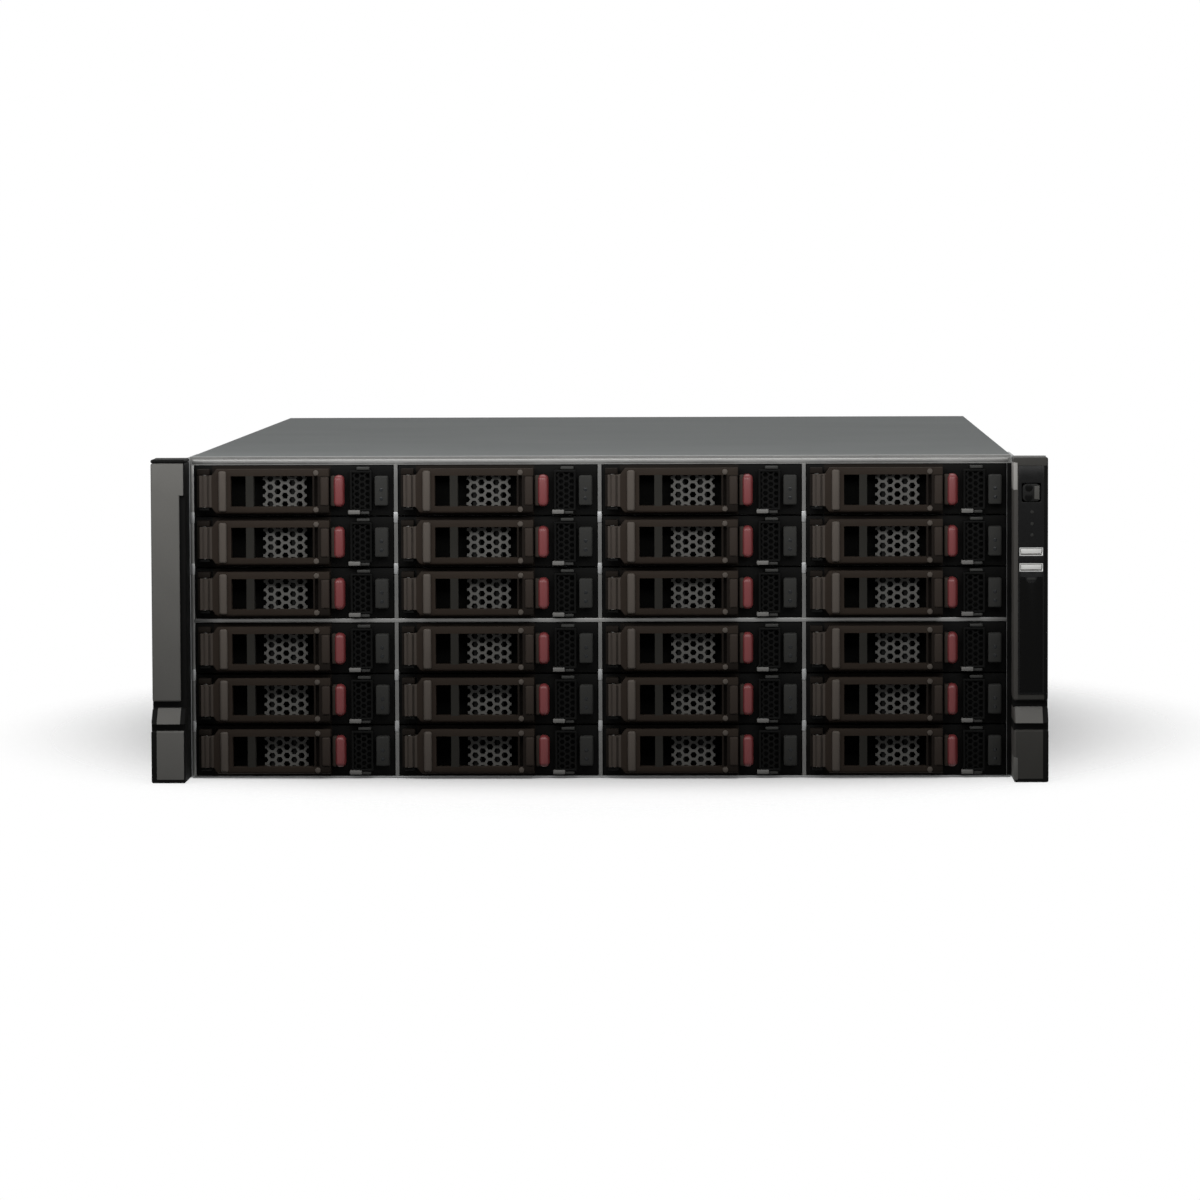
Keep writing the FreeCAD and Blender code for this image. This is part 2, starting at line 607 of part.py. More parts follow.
def ear_bracket():
    """Steel angle of the right ear: a leg along the chassis side and the flange with the rack holes."""
    z = (EAR_BOTTOM, EAR_TOP)
    flange = block((EAR_INNER, EAR_OUTER), (0, EAR_FLANGE), z)
    leg = block((EAR_INNER, EAR_INNER + EAR_FLANGE), (EAR_FLANGE, EAR_LEG), z)
    holes = [rod(EAR_HOLE_R, EAR_FLANGE, (x, 0, z), (0, 1, 0)) for x, z in rack_hole_places()]
    return merged([flange, leg]).cut(holes)


def ear_cover():
    """Moulded cover of the right ear: a tall flat face above a pull handle that stands further out."""
    face, nose = -EAR_REACH, -EAR_REACH - HANDLE_REACH
    groove_low = HANDLE_HEIGHT - HANDLE_GROOVE / 2
    groove_high = HANDLE_HEIGHT + HANDLE_GROOVE / 2
    profile = [
        (0, EAR_BOTTOM), (nose + EAR_ROUND, EAR_BOTTOM), (nose, EAR_BOTTOM + EAR_ROUND),
        (nose, groove_low), (nose + GROOVE_DEPTH, groove_low), (nose + GROOVE_DEPTH, groove_high),
        (nose, groove_high), (face, HANDLE_TOP), (face + GROOVE_DEPTH, HANDLE_TOP),
        (face + GROOVE_DEPTH, HANDLE_TOP + HANDLE_GROOVE), (face, HANDLE_TOP + HANDLE_GROOVE),
        (face, EAR_TOP - EAR_ROUND), (face + EAR_ROUND, EAR_TOP), (0, EAR_TOP),
    ]
    cover = prism("x", profile, COVER_INNER, EAR_OUTER)
    upright = [
        edge for edge in cover.Edges
        if abs(edge.BoundBox.XLength) < 1e-6 and edge.BoundBox.ZLength > HANDLE_HEIGHT / 2
        and edge.BoundBox.XMin > COVER_INNER + EAR_ROUND and edge.BoundBox.YMax < face + EAR_ROUND
    ]
    half = HEAD_ROOM / 2
    depth = (-HEAD_ROOM_DEPTH, 0)
    pockets = [block(around(x, half), depth, around(z, half)) for x, z in rack_hole_places()]
    return cover.makeFillet(EAR_ROUND, upright).cut(pockets)


def left_ear():
    """Plain ear with a dark rebate down the inner edge of its face."""
    cover = ear_cover()
    rebate = block(
        (COVER_INNER, COVER_INNER + REBATE_WIDTH),
        (-EAR_REACH, -EAR_REACH + GROOVE_DEPTH),
        (HANDLE_TOP + HANDLE_GROOVE, EAR_TOP - REBATE_TOP),
    )
    return Part.makeCompound([mirrored(ear_bracket()), mirrored(cover.cut(rebate))])


def panel_openings():
    """Low and high x and z of each port in the control panel."""
    x = (PANEL_LEFT + USB_RIM, PANEL_RIGHT - USB_RIM)
    return [(x, around(PANEL_Z - drop, USB_HEIGHT / 2)) for drop in USB_DROPS]


def octagon_bar(size, corner, y, run):
    """Bar of square section with its corners taken off, along Y, at the power button's place."""
    side = block(around(POWER_X, size / 2), (y, y + run), around(POWER_Z, size / 2))
    along = [edge for edge in side.Edges if edge.BoundBox.YLength > run / 2]
    return side.makeChamfer(corner, along)


def right_ear():
    """Ear with the control panel: power button hole, two ports and a service flap with a finger notch."""
    panel_back = PANEL_FRONT + PANEL_THICK
    recess = block((PANEL_LEFT, PANEL_RIGHT), (-EAR_REACH, panel_back), (PANEL_FOOT, PANEL_Z))
    cover = ear_cover().cut(recess)
    panel = block((PANEL_LEFT, PANEL_RIGHT), (PANEL_FRONT, panel_back), (PANEL_FOOT, PANEL_Z))
    shells = []
    for x, z in panel_openings():
        y = (PANEL_FRONT, PANEL_FRONT + USB_DEPTH)
        panel = panel.cut(block(x, y, z))
        cover = cover.cut(block(x, y, z))
        inner_x = (x[0] + USB_WALL, x[1] - USB_WALL)
        inner_z = (z[0] + USB_WALL, z[1] - USB_WALL)
        shell = block(x, y, z).cut(block(inner_x, (y[0], y[1] - USB_WALL), inner_z))
        tongue = block(
            (inner_x[0] + USB_WALL, inner_x[1] - USB_WALL), (y[0] + USB_WALL, y[1] - USB_WALL),
            (inner_z[1] - USB_WALL - USB_TONGUE, inner_z[1] - USB_WALL))
        shells.append(merged([shell, tongue]))
    well_half = POWER_SIZE / 2 + POWER_GAP
    well = block(
        around(POWER_X, well_half), (PANEL_FRONT, PANEL_FRONT + POWER_LENGTH + POWER_TRAVEL),
        around(POWER_Z, well_half))
    mouth = octagon_bar(2 * well_half, POWER_CORNER + POWER_GAP, PANEL_FRONT, PANEL_THICK)
    flap_top = PANEL_Z - FLAP_DROP
    flap = block(
        (PANEL_LEFT + FLAP_RIM, PANEL_RIGHT - FLAP_RIM),
        (PANEL_FRONT - FLAP_PROUD, PANEL_FRONT),
        (PANEL_FOOT + FLAP_RIM, flap_top),
    )
    notch = rod(FLAP_NOTCH_R, FLAP_PROUD, (POWER_X, PANEL_FRONT - FLAP_PROUD, flap_top), (0, 1, 0))
    pieces = [ear_bracket(), cover.cut(well), panel.cut(mouth), flap.cut(notch)]
    return Part.makeCompound(pieces + shells)


def power_button():
    """Square button without its corners, its front just proud of the panel."""
    return octagon_bar(POWER_SIZE, POWER_CORNER, PANEL_FRONT - POWER_PROUD, POWER_LENGTH + POWER_PROUD)


# Circuit boards


def board_span():
    """Low and high x of the main board, behind the ports and the card slots."""
    return (SLOTS_LEFT, MIDDLE_RIGHT)


def port_boxes():
    """Low and high x and z of each rear port, spread evenly along the port window."""
    spare = PORTS_WIDTH - sum(width for width, _ in PORT_SIZES)
    step = spare / (len(PORT_SIZES) + 1)
    x = (MIDDLE_LEFT + MIDDLE_RIGHT - PORTS_WIDTH) / 2 + step
    boxes = []
    for width, height in PORT_SIZES:
        boxes.append(((x, x + width), (BOARD_TOP, BOARD_TOP + height)))
        x += width + step
    return boxes


def rear_ports():
    """Metal-cased sockets on the board's rear edge, open to the back."""
    y = (CHASSIS_DEPTH - PORT_DEPTH, CHASSIS_DEPTH)
    ports = []
    for x, z in port_boxes():
        socket_x = (x[0] + PORT_WALL, x[1] - PORT_WALL)
        socket_z = (z[0] + PORT_WALL, z[1] - PORT_WALL)
        socket = block(socket_x, (CHASSIS_DEPTH - PORT_SOCKET, CHASSIS_DEPTH), socket_z)
        ports.append(block(x, y, z).cut(socket))
    return ports


def heat_sink():
    """Finned block on the processor, fins along the air flow."""
    rear = BOARD_REAR - SINK_SETBACK
    middle = sum(board_span()) / 2
    left = middle - SINK_SIZE / 2
    y = (rear - SINK_SIZE, rear)
    base = block((left, left + SINK_SIZE), y, (BOARD_TOP, BOARD_TOP + SINK_BASE))
    step = (SINK_SIZE - SINK_FIN) / (SINK_FINS - 1)
    fin_lefts = [left + i * step for i in range(SINK_FINS)]
    z = (BOARD_TOP + SINK_BASE, BOARD_TOP + SINK_HEIGHT)
    fins = [block((x, x + SINK_FIN), y, z) for x in fin_lefts]
    return merged([base] + fins)


def memory_modules():
    """Memory sticks in their sockets, beside the heat sink."""
    first = sum(board_span()) / 2 + SINK_SIZE / 2 + MEMORY_GAP
    rear = BOARD_REAR - SINK_SETBACK
    z = (BOARD_TOP, BOARD_TOP + MEMORY_HEIGHT)
    lefts = [first + i * MEMORY_PITCH for i in range(MEMORY_COUNT)]
    return [block((x, x + MEMORY_THICK), (rear - MEMORY_LENGTH, rear), z) for x in lefts]


def backplane():
    """Board across the back of the drive cage, with one connector for each drive."""
    z = (SHEET, CHASSIS_HEIGHT - TOP_FRAME)
    board = block((-INNER_HALF, INNER_HALF), (CAGE_DEPTH, CAGE_DEPTH + BACKPLANE), z)
    connectors = []
    for row in range(ROWS):
        for column in range(COLUMNS):
            corner = bay_corner(row, column)
            connectors.append(block(
                around(corner.x + BAY_WIDTH / 2, CONNECTOR_WIDTH / 2),
                (CAGE_DEPTH - CONNECTOR_DEPTH, CAGE_DEPTH),
                (corner.z + CONNECTOR_LIFT, corner.z + CONNECTOR_LIFT + CONNECTOR_HEIGHT),
            ))
    return [board] + connectors


def circuit_boards():
    board = block(board_span(), (BOARD_FRONT, BOARD_REAR), (BOARD_Z, BOARD_TOP))
    pieces = backplane() + [board, heat_sink()] + rear_ports() + memory_modules()
    return Part.makeCompound(pieces)


# Fans


def fan_frame(x):
    """Square frame around the duct, and a stator plate on four struts that carries the shaft."""
    y = (FAN_FRONT, REAR_INNER)
    frame = block(around(x, FAN_SIZE / 2), y, around(FAN_Z, FAN_SIZE / 2))
    frame = frame.cut(fan_duct(x, FAN_FRONT, REAR_INNER))
    back = REAR_INNER - STATOR_THICK
    plate = block(around(x, STATOR_SIZE / 2), (back, REAR_INNER), around(FAN_Z, STATOR_SIZE / 2))
    reach = FAN_BORE + FAN_WALL / 2
    bar = block(around(x, reach), (back, REAR_INNER), around(FAN_Z, STRUT_WIDTH / 2))
    post = block(around(x, STRUT_WIDTH / 2), (back, REAR_INNER), around(FAN_Z, reach))
    shaft = prism("y", polygon(PIN_SIDES, SHAFT_R, x, FAN_Z), back - SHAFT_LENGTH, back)
    return merged([frame, plate, bar, post, shaft])


def blade_reach():
    """Height of a blade's flat tip above the axis, so that the tip's corners clear the duct."""
    half_width = BLADE_CHORD_TIP / 2 * math.cos(math.radians(BLADE_PITCH)) + BLADE_THICK / 2
    return math.sqrt((FAN_BORE - BLADE_TIP_GAP) ** 2 - half_width ** 2)


def fan_rotor(x):
    """Hub on the shaft with pitched blades that widen towards their tips."""
    rear = REAR_INNER - STATOR_THICK - HUB_SETBACK
    front = rear - HUB_LENGTH
    hub = prism("y", polygon(2 * BLADES, HUB_R, 0, 0), front, rear)
    root, tip = HUB_R - BLADE_THICK, blade_reach()
    outline = [
        (-BLADE_CHORD_ROOT / 2, root), (BLADE_CHORD_ROOT / 2, root),
        (BLADE_CHORD_TIP / 2, tip), (-BLADE_CHORD_TIP / 2, tip),
    ]
    blade = prism("y", outline, -BLADE_THICK / 2, BLADE_THICK / 2)
    blade.rotate(Vector(0, 0, 0), Vector(0, 0, 1), BLADE_PITCH)
    blade.translate(Vector(0, (front + rear) / 2, 0))
    blades = []
    for i in range(BLADES):
        turned = blade.copy()
        turned.rotate(Vector(0, 0, 0), Vector(0, 1, 0), i * 360 / BLADES)
        blades.append(turned)
    section = polygon(PIN_SIDES, corner_radius(PIN_SIDES, SHAFT_R + SHAFT_CLEARANCE), 0, 0)
    bore = prism("y", section, rear - SHAFT_LENGTH, rear)
    rotor = merged([hub] + blades).cut(bore)
    rotor.translate(Vector(x, 0, FAN_Z))
    return rotor


# Power supplies


def power_supply(level):
    """Hot-swap supply: a metal case with a mains inlet and a pull handle at the back."""
    bottom = SHEET + level * PSU_PITCH + PSU_GAP
    z = (bottom, bottom + PSU_HEIGHT)
    back = CHASSIS_DEPTH + PSU_PROUD
    case = block((PSU_LEFT, PSU_RIGHT), (PSU_FRONT, back), z)
    middle = sum(z) / 2
    inlet_x = (PSU_RIGHT - PSU_HANDLE_MARGIN - INLET_WIDTH, PSU_RIGHT - PSU_HANDLE_MARGIN)
    case = case.cut(block(inlet_x, (back - INLET_DEPTH, back), around(middle, INLET_HEIGHT / 2)))
    pins = []
    for i in (-1, 0, 1):
        x = sum(inlet_x) / 2 + i * INLET_WIDTH / 4
        y = (back - INLET_DEPTH, back - INLET_DEPTH / 4)
        pins.append(block(around(x, INLET_PIN / 4), y, around(middle, INLET_PIN)))
    handle_x = (PSU_LEFT + PSU_HANDLE_MARGIN, PSU_LEFT + PSU_HANDLE_MARGIN + PSU_HANDLE_WIDTH)
    handle_z = (z[0] + PSU_HANDLE_MARGIN, z[1] - PSU_HANDLE_MARGIN)
    reach = back + PSU_HANDLE_REACH
    loop = block(handle_x, (back, reach), handle_z)
    grip = block(
        handle_x, (back, reach - PSU_HANDLE_BAR),
        (handle_z[0] + PSU_HANDLE_BAR, handle_z[1] - PSU_HANDLE_BAR))
    return merged([case, loop.cut(grip)] + pins)


# Every node of the assembly


def all_nodes():
    nodes = {
        "chassis_base": chassis_base(),
        "top_cover": top_cover(),
        "drive_cage": drive_cage(),
        "circuit_boards": circuit_boards(),
        "left_ear": left_ear(),
        "right_ear": right_ear(),
        "power_button": power_button(),
        "fan_frames": Part.makeCompound([fan_frame(x) for x in FAN_CENTRES]),
        "fan_rotor_1": fan_rotor(FAN_CENTRES[0]),
        "fan_rotor_2": fan_rotor(FAN_CENTRES[1]),
    }
    for level in range(PSU_COUNT):
        nodes[f"power_supply_{level + 1}"] = power_supply(level)
    carrier = Part.makeCompound([carrier_tray(), bezel(), drive(), release_button()])
    lever = eject_lever()
    for row in range(ROWS):
        for column in range(COLUMNS):
            place = bay_corner(row, column)
            bay = f"r{row + 1}c{column + 1}"
            nodes[f"drive_carrier_{bay}"] = carrier.translated(place)
            nodes[f"eject_lever_{bay}"] = lever.translated(place)
    return nodes


os.makedirs("parts", exist_ok=True)
for name, shape in all_nodes().items():
    shape.translated(Vector(0, Y_SHIFT, 0)).exportStep(f"parts/{name}.step")
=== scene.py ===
import math

import bmesh
import bpy
from mathutils import Euler, Matrix, Vector


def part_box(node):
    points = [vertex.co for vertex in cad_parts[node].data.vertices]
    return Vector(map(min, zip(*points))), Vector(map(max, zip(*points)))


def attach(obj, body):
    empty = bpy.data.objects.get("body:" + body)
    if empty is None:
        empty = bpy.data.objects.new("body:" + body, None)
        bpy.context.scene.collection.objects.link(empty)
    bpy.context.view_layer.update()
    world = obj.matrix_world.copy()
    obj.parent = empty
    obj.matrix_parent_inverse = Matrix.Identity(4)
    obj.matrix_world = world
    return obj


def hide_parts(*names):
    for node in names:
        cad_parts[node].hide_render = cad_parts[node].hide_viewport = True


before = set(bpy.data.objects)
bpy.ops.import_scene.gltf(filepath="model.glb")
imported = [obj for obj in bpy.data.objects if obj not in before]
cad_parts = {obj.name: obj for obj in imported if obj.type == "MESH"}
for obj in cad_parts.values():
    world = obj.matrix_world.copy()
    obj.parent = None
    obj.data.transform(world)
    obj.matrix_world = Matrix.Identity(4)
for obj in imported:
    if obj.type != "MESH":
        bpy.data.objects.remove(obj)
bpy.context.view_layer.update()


# Chassis base and drive cage. Floor, sides, rear panels, dividers and shelf are zinc-coated sheet
# steel, riveted together. The sheet keeps the fine lines of the rolling mill.
MM = 0.001  # shapes are in millimetres


class Wire:
    """An output socket of a material's nodes. Arithmetic on it adds Math nodes."""

    def __init__(self, finish, socket):
        self.finish, self.socket = finish, socket

    def maths(self, operation, other):
        return self.finish.node("ShaderNodeMath", {"operation": operation}, {0: self, 1: other})

    def __add__(self, other):
        return self.maths("ADD", other)

    def __mul__(self, other):
        return self.maths("MULTIPLY", other)

    def __gt__(self, other):
        return self.maths("GREATER_THAN", other)

    __radd__ = __add__
    __rmul__ = __mul__


class Finish:
    """A material around one Principled shader. Constants go straight to the shader's sockets."""

    def __init__(self, name, **constants):
        self.material = bpy.data.materials.new(name)
        self.material.use_nodes = True
        self.tree = self.material.node_tree
        self.shader = self.tree.nodes["Principled BSDF"]
        self.set(**constants)
        self.place = self.node("ShaderNodeTexCoord", output="Object")

    def feed(self, node, sockets):
        for key, value in sockets.items():
            if isinstance(value, Wire):
                self.tree.links.new(value.socket, node.inputs[key])
            else:
                node.inputs[key].default_value = value

    def node(self, kind, settings=None, sockets=None, output=0):
        made = self.tree.nodes.new(kind)
        for key, value in (settings or {}).items():
            setattr(made, key, value)
        self.feed(made, sockets or {})
        return Wire(self, made.outputs[output])

    def noise(self, size, stretch=(1, 1, 1), detail=2):
        """Cloudy pattern from 0 to 1, of patches about one size across, drawn out along an axis."""
        moved = self.node("ShaderNodeMapping", sockets={"Vector": self.place, "Scale": stretch})
        sockets = {"Vector": moved, "Scale": 1 / (size * MM), "Detail": detail}
        return self.node("ShaderNodeTexNoise", sockets=sockets)

    def blend(self, share, low, high):
        """Colour that runs from low to high. A Mix node's sockets go by number: its names repeat."""
        return self.node("ShaderNodeMix", {"data_type": "RGBA"}, {0: share, 6: low, 7: high}, 2)

    def bump(self, height, depth):
        sockets = {"Height": height, "Distance": depth * MM, "Strength": 1}
        return self.node("ShaderNodeBump", sockets=sockets)

    def set(self, **links):
        self.feed(self.shader, {key.replace("_", " "): value for key, value in links.items()})
        return self


def rgb(*shown):
    """Linear colour from the 0 to 255 values that a screen shows."""
    linear = [((v / 255 + 0.055) / 1.055) ** 2.4 if v > 10 else v / 255 / 12.92 for v in shown]
    return (*linear, 1)


def rolled_steel(name, dark, light, gloss=0.34):
    """Zinc-coated sheet: faint mill lines along the depth, cloudy zinc and a soft sheen."""
    steel = Finish(name, Metallic=0.85, Specular_IOR_Level=0.3)
    lines = steel.noise(1.2, (1, 0.02, 1), 3)
    cloud = steel.noise(14, detail=3)
    steel.set(Base_Color=steel.blend(lines * 0.5 + cloud * 0.5, dark, light))
    return steel.set(Roughness=gloss + cloud * 0.16, Normal=steel.bump(lines, 0.02))


def dress(finish, *nodes):
    """Puts a finish on CAD nodes that are shown as they are."""
    for name in nodes:
        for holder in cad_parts[name].material_slots:
            holder.material = finish.material


def box_of(node):
    """Corners of a CAD node, in millimetres."""
    low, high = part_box(node)
    return low / MM, high / MM


chassis_zinc = rolled_steel("chassis_zinc", rgb(120, 121, 121), rgb(150, 151, 151))
# The cage's zinc is a darker copy of the chassis zinc: painted shade.
cage_zinc_shaded = rolled_steel("cage_zinc_shaded", rgb(86, 86, 85), rgb(112, 112, 110))
dress(chassis_zinc, "chassis_base")
dress(cage_zinc_shaded, "drive_cage")
base_low, base_high = box_of("chassis_base")
front_y, rear_y = base_low.y, base_high.y


# Fixings of the chassis. Pan-head screws with a cross recess hold the fans and the slot blanks from
# the rear, and flat rivets hold the cage between the sides. All are nickel-plated steel.
def plated(name, dark, light, gloss, wear, grain):
    """Bright plating with a fine grain in its colour and gloss."""
    metal = Finish(name, Metallic=1.0)
    mottle = metal.noise(grain)
    return metal.set(Base_Color=metal.blend(mottle, dark, light), Roughness=gloss + mottle * wear)


screw_nickel = plated("screw_nickel", rgb(140, 140, 138), rgb(182, 182, 178), 0.28, 0.15, 0.4)
QUARTER = math.pi / 2
WAYS = {"+x": (0, QUARTER, 0), "-x": (0, -QUARTER, 0), "+y": (-QUARTER, 0, 0), "-y": (QUARTER, 0, 0),
        "+z": (0, 0, 0)}
SHARP_ANGLE = 35


def facing(middle, way):
    """Placement that turns +Z to one of the ways, at a point."""
    return Matrix.Translation(Vector(middle)) @ Euler(WAYS[way]).to_matrix().to_4x4()


def paint(faces, finish):
    for face in faces:
        face.material_index = finish


def bevel(bm, edges, width, segments=2):
    """Rounds edges off, and drops the slivers that are left where two roundings meet."""
    bmesh.ops.bevel(bm, geom=list(edges), offset=width, segments=segments, profile=0.5,
                    affect="EDGES", clamp_overlap=True, material=-1)
    bmesh.ops.dissolve_degenerate(bm, dist=1e-4, edges=bm.edges[:])


def join(bm, other, move=(0, 0, 0), finish=None):
    """Adds a copy of another shape, moved and painted."""
    if finish is not None:
        paint(other.faces, finish)
    mesh = bpy.data.meshes.new("copied")
    other.to_mesh(mesh)
    mesh.transform(Matrix.Translation(Vector(move)))
    bm.from_mesh(mesh)
    bpy.data.meshes.remove(mesh)


def block(bm, low, high, rounding=0.0, segments=2, finish=0):
    """Box between two corners, its edges rounded off."""
    low, high = Vector(low), Vector(high)
    place = Matrix.Translation((low + high) / 2) @ Matrix.Diagonal((*(high - low), 1))
    box = bmesh.new()
    bmesh.ops.create_cube(box, size=1, matrix=place)
    if rounding:
        bevel(box, box.edges, rounding, segments)
    join(bm, box, finish=finish)


def peg(bm, middle, way, radius, length, rounding=0.0, sides=24, finish=0):
    """Round bar that runs one way from a point, its far rim rounded off."""
    place = facing(middle, way) @ Matrix.Translation((0, 0, length / 2))
    bar = bmesh.new()
    bmesh.ops.create_cone(bar, cap_ends=True, segments=sides, radius1=radius, radius2=radius,
                          depth=length)
    if rounding:
        bevel(bar, [e for e in bar.edges if min(v.co.z for v in e.verts) > 0], rounding)
    bmesh.ops.transform(bar, verts=bar.verts[:], matrix=place)
    join(bm, bar, finish=finish)


def screw(bm, middle, way, radius, finish=0):
    """Pan head with a raised cross in its recess."""
    height = 0.6 * radius
    peg(bm, middle, way, radius, height, 0.4 * height, 16, finish)
    for wide, long in ((0.2, 1.1), (1.1, 0.2)):
        size = (radius * wide, radius * long, 0.1 * radius, 1)
        place = facing(middle, way) @ Matrix.Translation((0, 0, height)) @ Matrix.Diagonal(size)
        bar = bmesh.new()
        bmesh.ops.create_cube(bar, size=1, matrix=place)
        join(bm, bar, finish=finish)


def piece(name, bm, finishes, body, nodes=(), at=(0, 0, 0)):
    """Finished object from a shape in millimetres. It rides a body and may stand for CAD nodes."""
    mesh = bpy.data.meshes.new(name)
    bm.to_mesh(mesh)
    mesh.transform(Matrix.Scale(MM, 4) @ Matrix.Translation(Vector(at)))
    for finish in finishes:
        mesh.materials.append(finish.material)
    mesh.shade_smooth()
    mesh.set_sharp_from_angle(angle=math.radians(SHARP_ANGLE))
    made = bpy.data.objects.new(name, mesh)
    bpy.context.scene.collection.objects.link(made)
    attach(made, body)
    if nodes:
        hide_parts(*nodes)


FAN_SIZE, FAN_SCREWS, FAN_SCREW_R = 80, 71.5, 3.2
SLOT_PITCH, SLOT_COUNT, SLOTS_RIGHT = 20.32, 7, -32.9
SLOT_SCREW_Z, SLOT_SCREW_R = 120.5, 2.6
RIVETS_Y, RIVETS_Z, RIVET_R, RIVET_HIGH = (70, 110, 150, 640), (20, 60, 110, 150), 2.4, 0.5
fans_low, fans_high = box_of("fan_frames")
fan_z = (fans_low.z + fans_high.z) / 2
fan_xs = (fans_high.x - FAN_SIZE / 2, fans_low.x + FAN_SIZE / 2)
slot_xs = [SLOTS_RIGHT - (i + 0.5) * SLOT_PITCH for i in range(SLOT_COUNT)]
fixings = bmesh.new()
for x in fan_xs:
    for dx in (-FAN_SCREWS / 2, FAN_SCREWS / 2):
        for dz in (-FAN_SCREWS / 2, FAN_SCREWS / 2):
            screw(fixings, (x + dx, rear_y, fan_z + dz), "+y", FAN_SCREW_R)
for x in slot_xs:
    screw(fixings, (x, rear_y, SLOT_SCREW_Z), "+y", SLOT_SCREW_R)
for x, way in ((base_low.x, "-x"), (base_high.x, "+x")):
    for y in RIVETS_Y:
        for z in RIVETS_Z:
            peg(fixings, (x, front_y + y, z), way, RIVET_R, RIVET_HIGH, 0.3, 16)
piece("chassis_fixings", fixings, [screw_nickel], "chassis")


# Circuit boards. A drive backplane stands across the cage, and the main board on posts carries a
# finned aluminium sink, memory, card sockets and metal-cased ports. Green laminate, soldered parts.
board_green = Finish("board_green", Specular_IOR_Level=0.4)
tracks = board_green.noise(2.5, (1, 0.15, 1), 1) > 0.53
stains = board_green.noise(30)
laminate = board_green.blend(tracks * 0.6 + stains * 0.4, rgb(14, 52, 34), rgb(34, 86, 58))
board_green.set(Base_Color=laminate, Roughness=0.3 + stains * 0.15)
board_green.set(Normal=board_green.bump(tracks, 0.04))
sink_aluminium = rolled_steel("sink_aluminium", rgb(150, 152, 155), rgb(186, 188, 190), 0.3)
port_steel = rolled_steel("port_steel", rgb(158, 158, 156), rgb(190, 190, 188), 0.22)


def moulded(name, dark, light, sheen, grain=0.5, depth=0.02, specular=0.22):
    """Injection-moulded plastic with a fine spark-eroded texture and faint flow clouds."""
    plastic = Finish(name, Specular_IOR_Level=specular)
    texture = plastic.noise(grain, detail=3)
    flow = plastic.noise(22)
    plastic.set(Base_Color=plastic.blend(flow * 0.6 + texture * 0.4, dark, light))
    return plastic.set(Roughness=sheen + texture * 0.16, Normal=plastic.bump(texture, depth))


socket_black = moulded("socket_black", rgb(18, 18, 18), rgb(34, 34, 33), 0.5)
contact_gold = plated("contact_gold", rgb(190, 150, 80), rgb(214, 178, 104), 0.25, 0.1, 0.8)
GREEN, ALUMINIUM, PORT, BLACK, GOLD = range(5)
SHEET, CAGE_TOP = 1.2, 170.6
BOARD_X, BOARD_Y, BOARD_Z = (-175.1, 138.1), (front_y + 413.3, front_y + 657.3), (7.7, 9.3)
BACKPLANE_Y = (front_y + 161.3, front_y + 163.3)
ROWS, COLUMNS, ROW_PITCH, BAY_WIDTH, BEZEL_GAP = 6, 4, 27.9, 108.6, 0.35
CONNECTOR_Z, CONNECTOR_HALF, CONNECTOR_DEEP = (3, 9), 16.5, 8
CONTACTS, CONTACT_PITCH = 12, 2.5


def each_bay():
    """Name and lower left corner, at the cage's front, of every bay."""
    for row in range(1, ROWS + 1):
        for column in range(1, COLUMNS + 1):
            bay = f"r{row}c{column}"
            low = box_of(f"drive_carrier_{bay}")[0]
            yield bay, Vector((low.x - BEZEL_GAP, front_y, low.z - BEZEL_GAP))


boards = bmesh.new()
block(boards, (base_low.x + SHEET, BACKPLANE_Y[0], SHEET),
      (base_high.x - SHEET, BACKPLANE_Y[1], CAGE_TOP), 0.2, 1, GREEN)
for _, corner in each_bay():
    middle = corner.x + BAY_WIDTH / 2
    low, high = (corner.z + z for z in CONNECTOR_Z)
    mouth, back = BACKPLANE_Y[0] - CONNECTOR_DEEP, BACKPLANE_Y[1]
    block(boards, (middle - CONNECTOR_HALF, mouth, low),
          (middle + CONNECTOR_HALF, BACKPLANE_Y[0], high), 0.5, 1, BLACK)
    for i in range(CONTACTS):
        x = middle + (i - (CONTACTS - 1) / 2) * CONTACT_PITCH
        block(boards, (x - 0.5, mouth - 0.1, low + 2), (x + 0.5, mouth + 0.1, high - 2), 0, 1, GOLD)
    peg(boards, (middle + 26, back, corner.z + 14), "+y", 4, 9, 0.5, 16, ALUMINIUM)
    block(boards, (middle - 30, back, low), (middle + 8, back + 7, high), 0.6, 1, BLACK)

block(boards, *zip(BOARD_X, BOARD_Y, BOARD_Z), 0.2, 1, GREEN)
top = BOARD_Z[1]
SINK_SIZE, SINK_HEIGHT, SINK_FOOT, SINK_FINS, FIN_THICK, SINK_TO_REAR = 92, 62, 8, 23, 1.2, 92
sink_x = (BOARD_X[0] + BOARD_X[1] - SINK_SIZE) / 2
sink_y = BOARD_Y[1] - SINK_TO_REAR - SINK_SIZE
block(boards, (sink_x, sink_y, top),
      (sink_x + SINK_SIZE, sink_y + SINK_SIZE, top + SINK_FOOT), 0.6, 2, ALUMINIUM)
for i in range(SINK_FINS):
    x = sink_x + i * (SINK_SIZE - FIN_THICK) / (SINK_FINS - 1)
    block(boards, (x, sink_y, top + SINK_FOOT - 1),
          (x + FIN_THICK, sink_y + SINK_SIZE, top + SINK_HEIGHT), 0.25, 1, ALUMINIUM)
MODULES, MODULE_PITCH, MODULE_LONG, CHIPS, CHIP_PITCH = 4, 9.5, 133, 8, 15
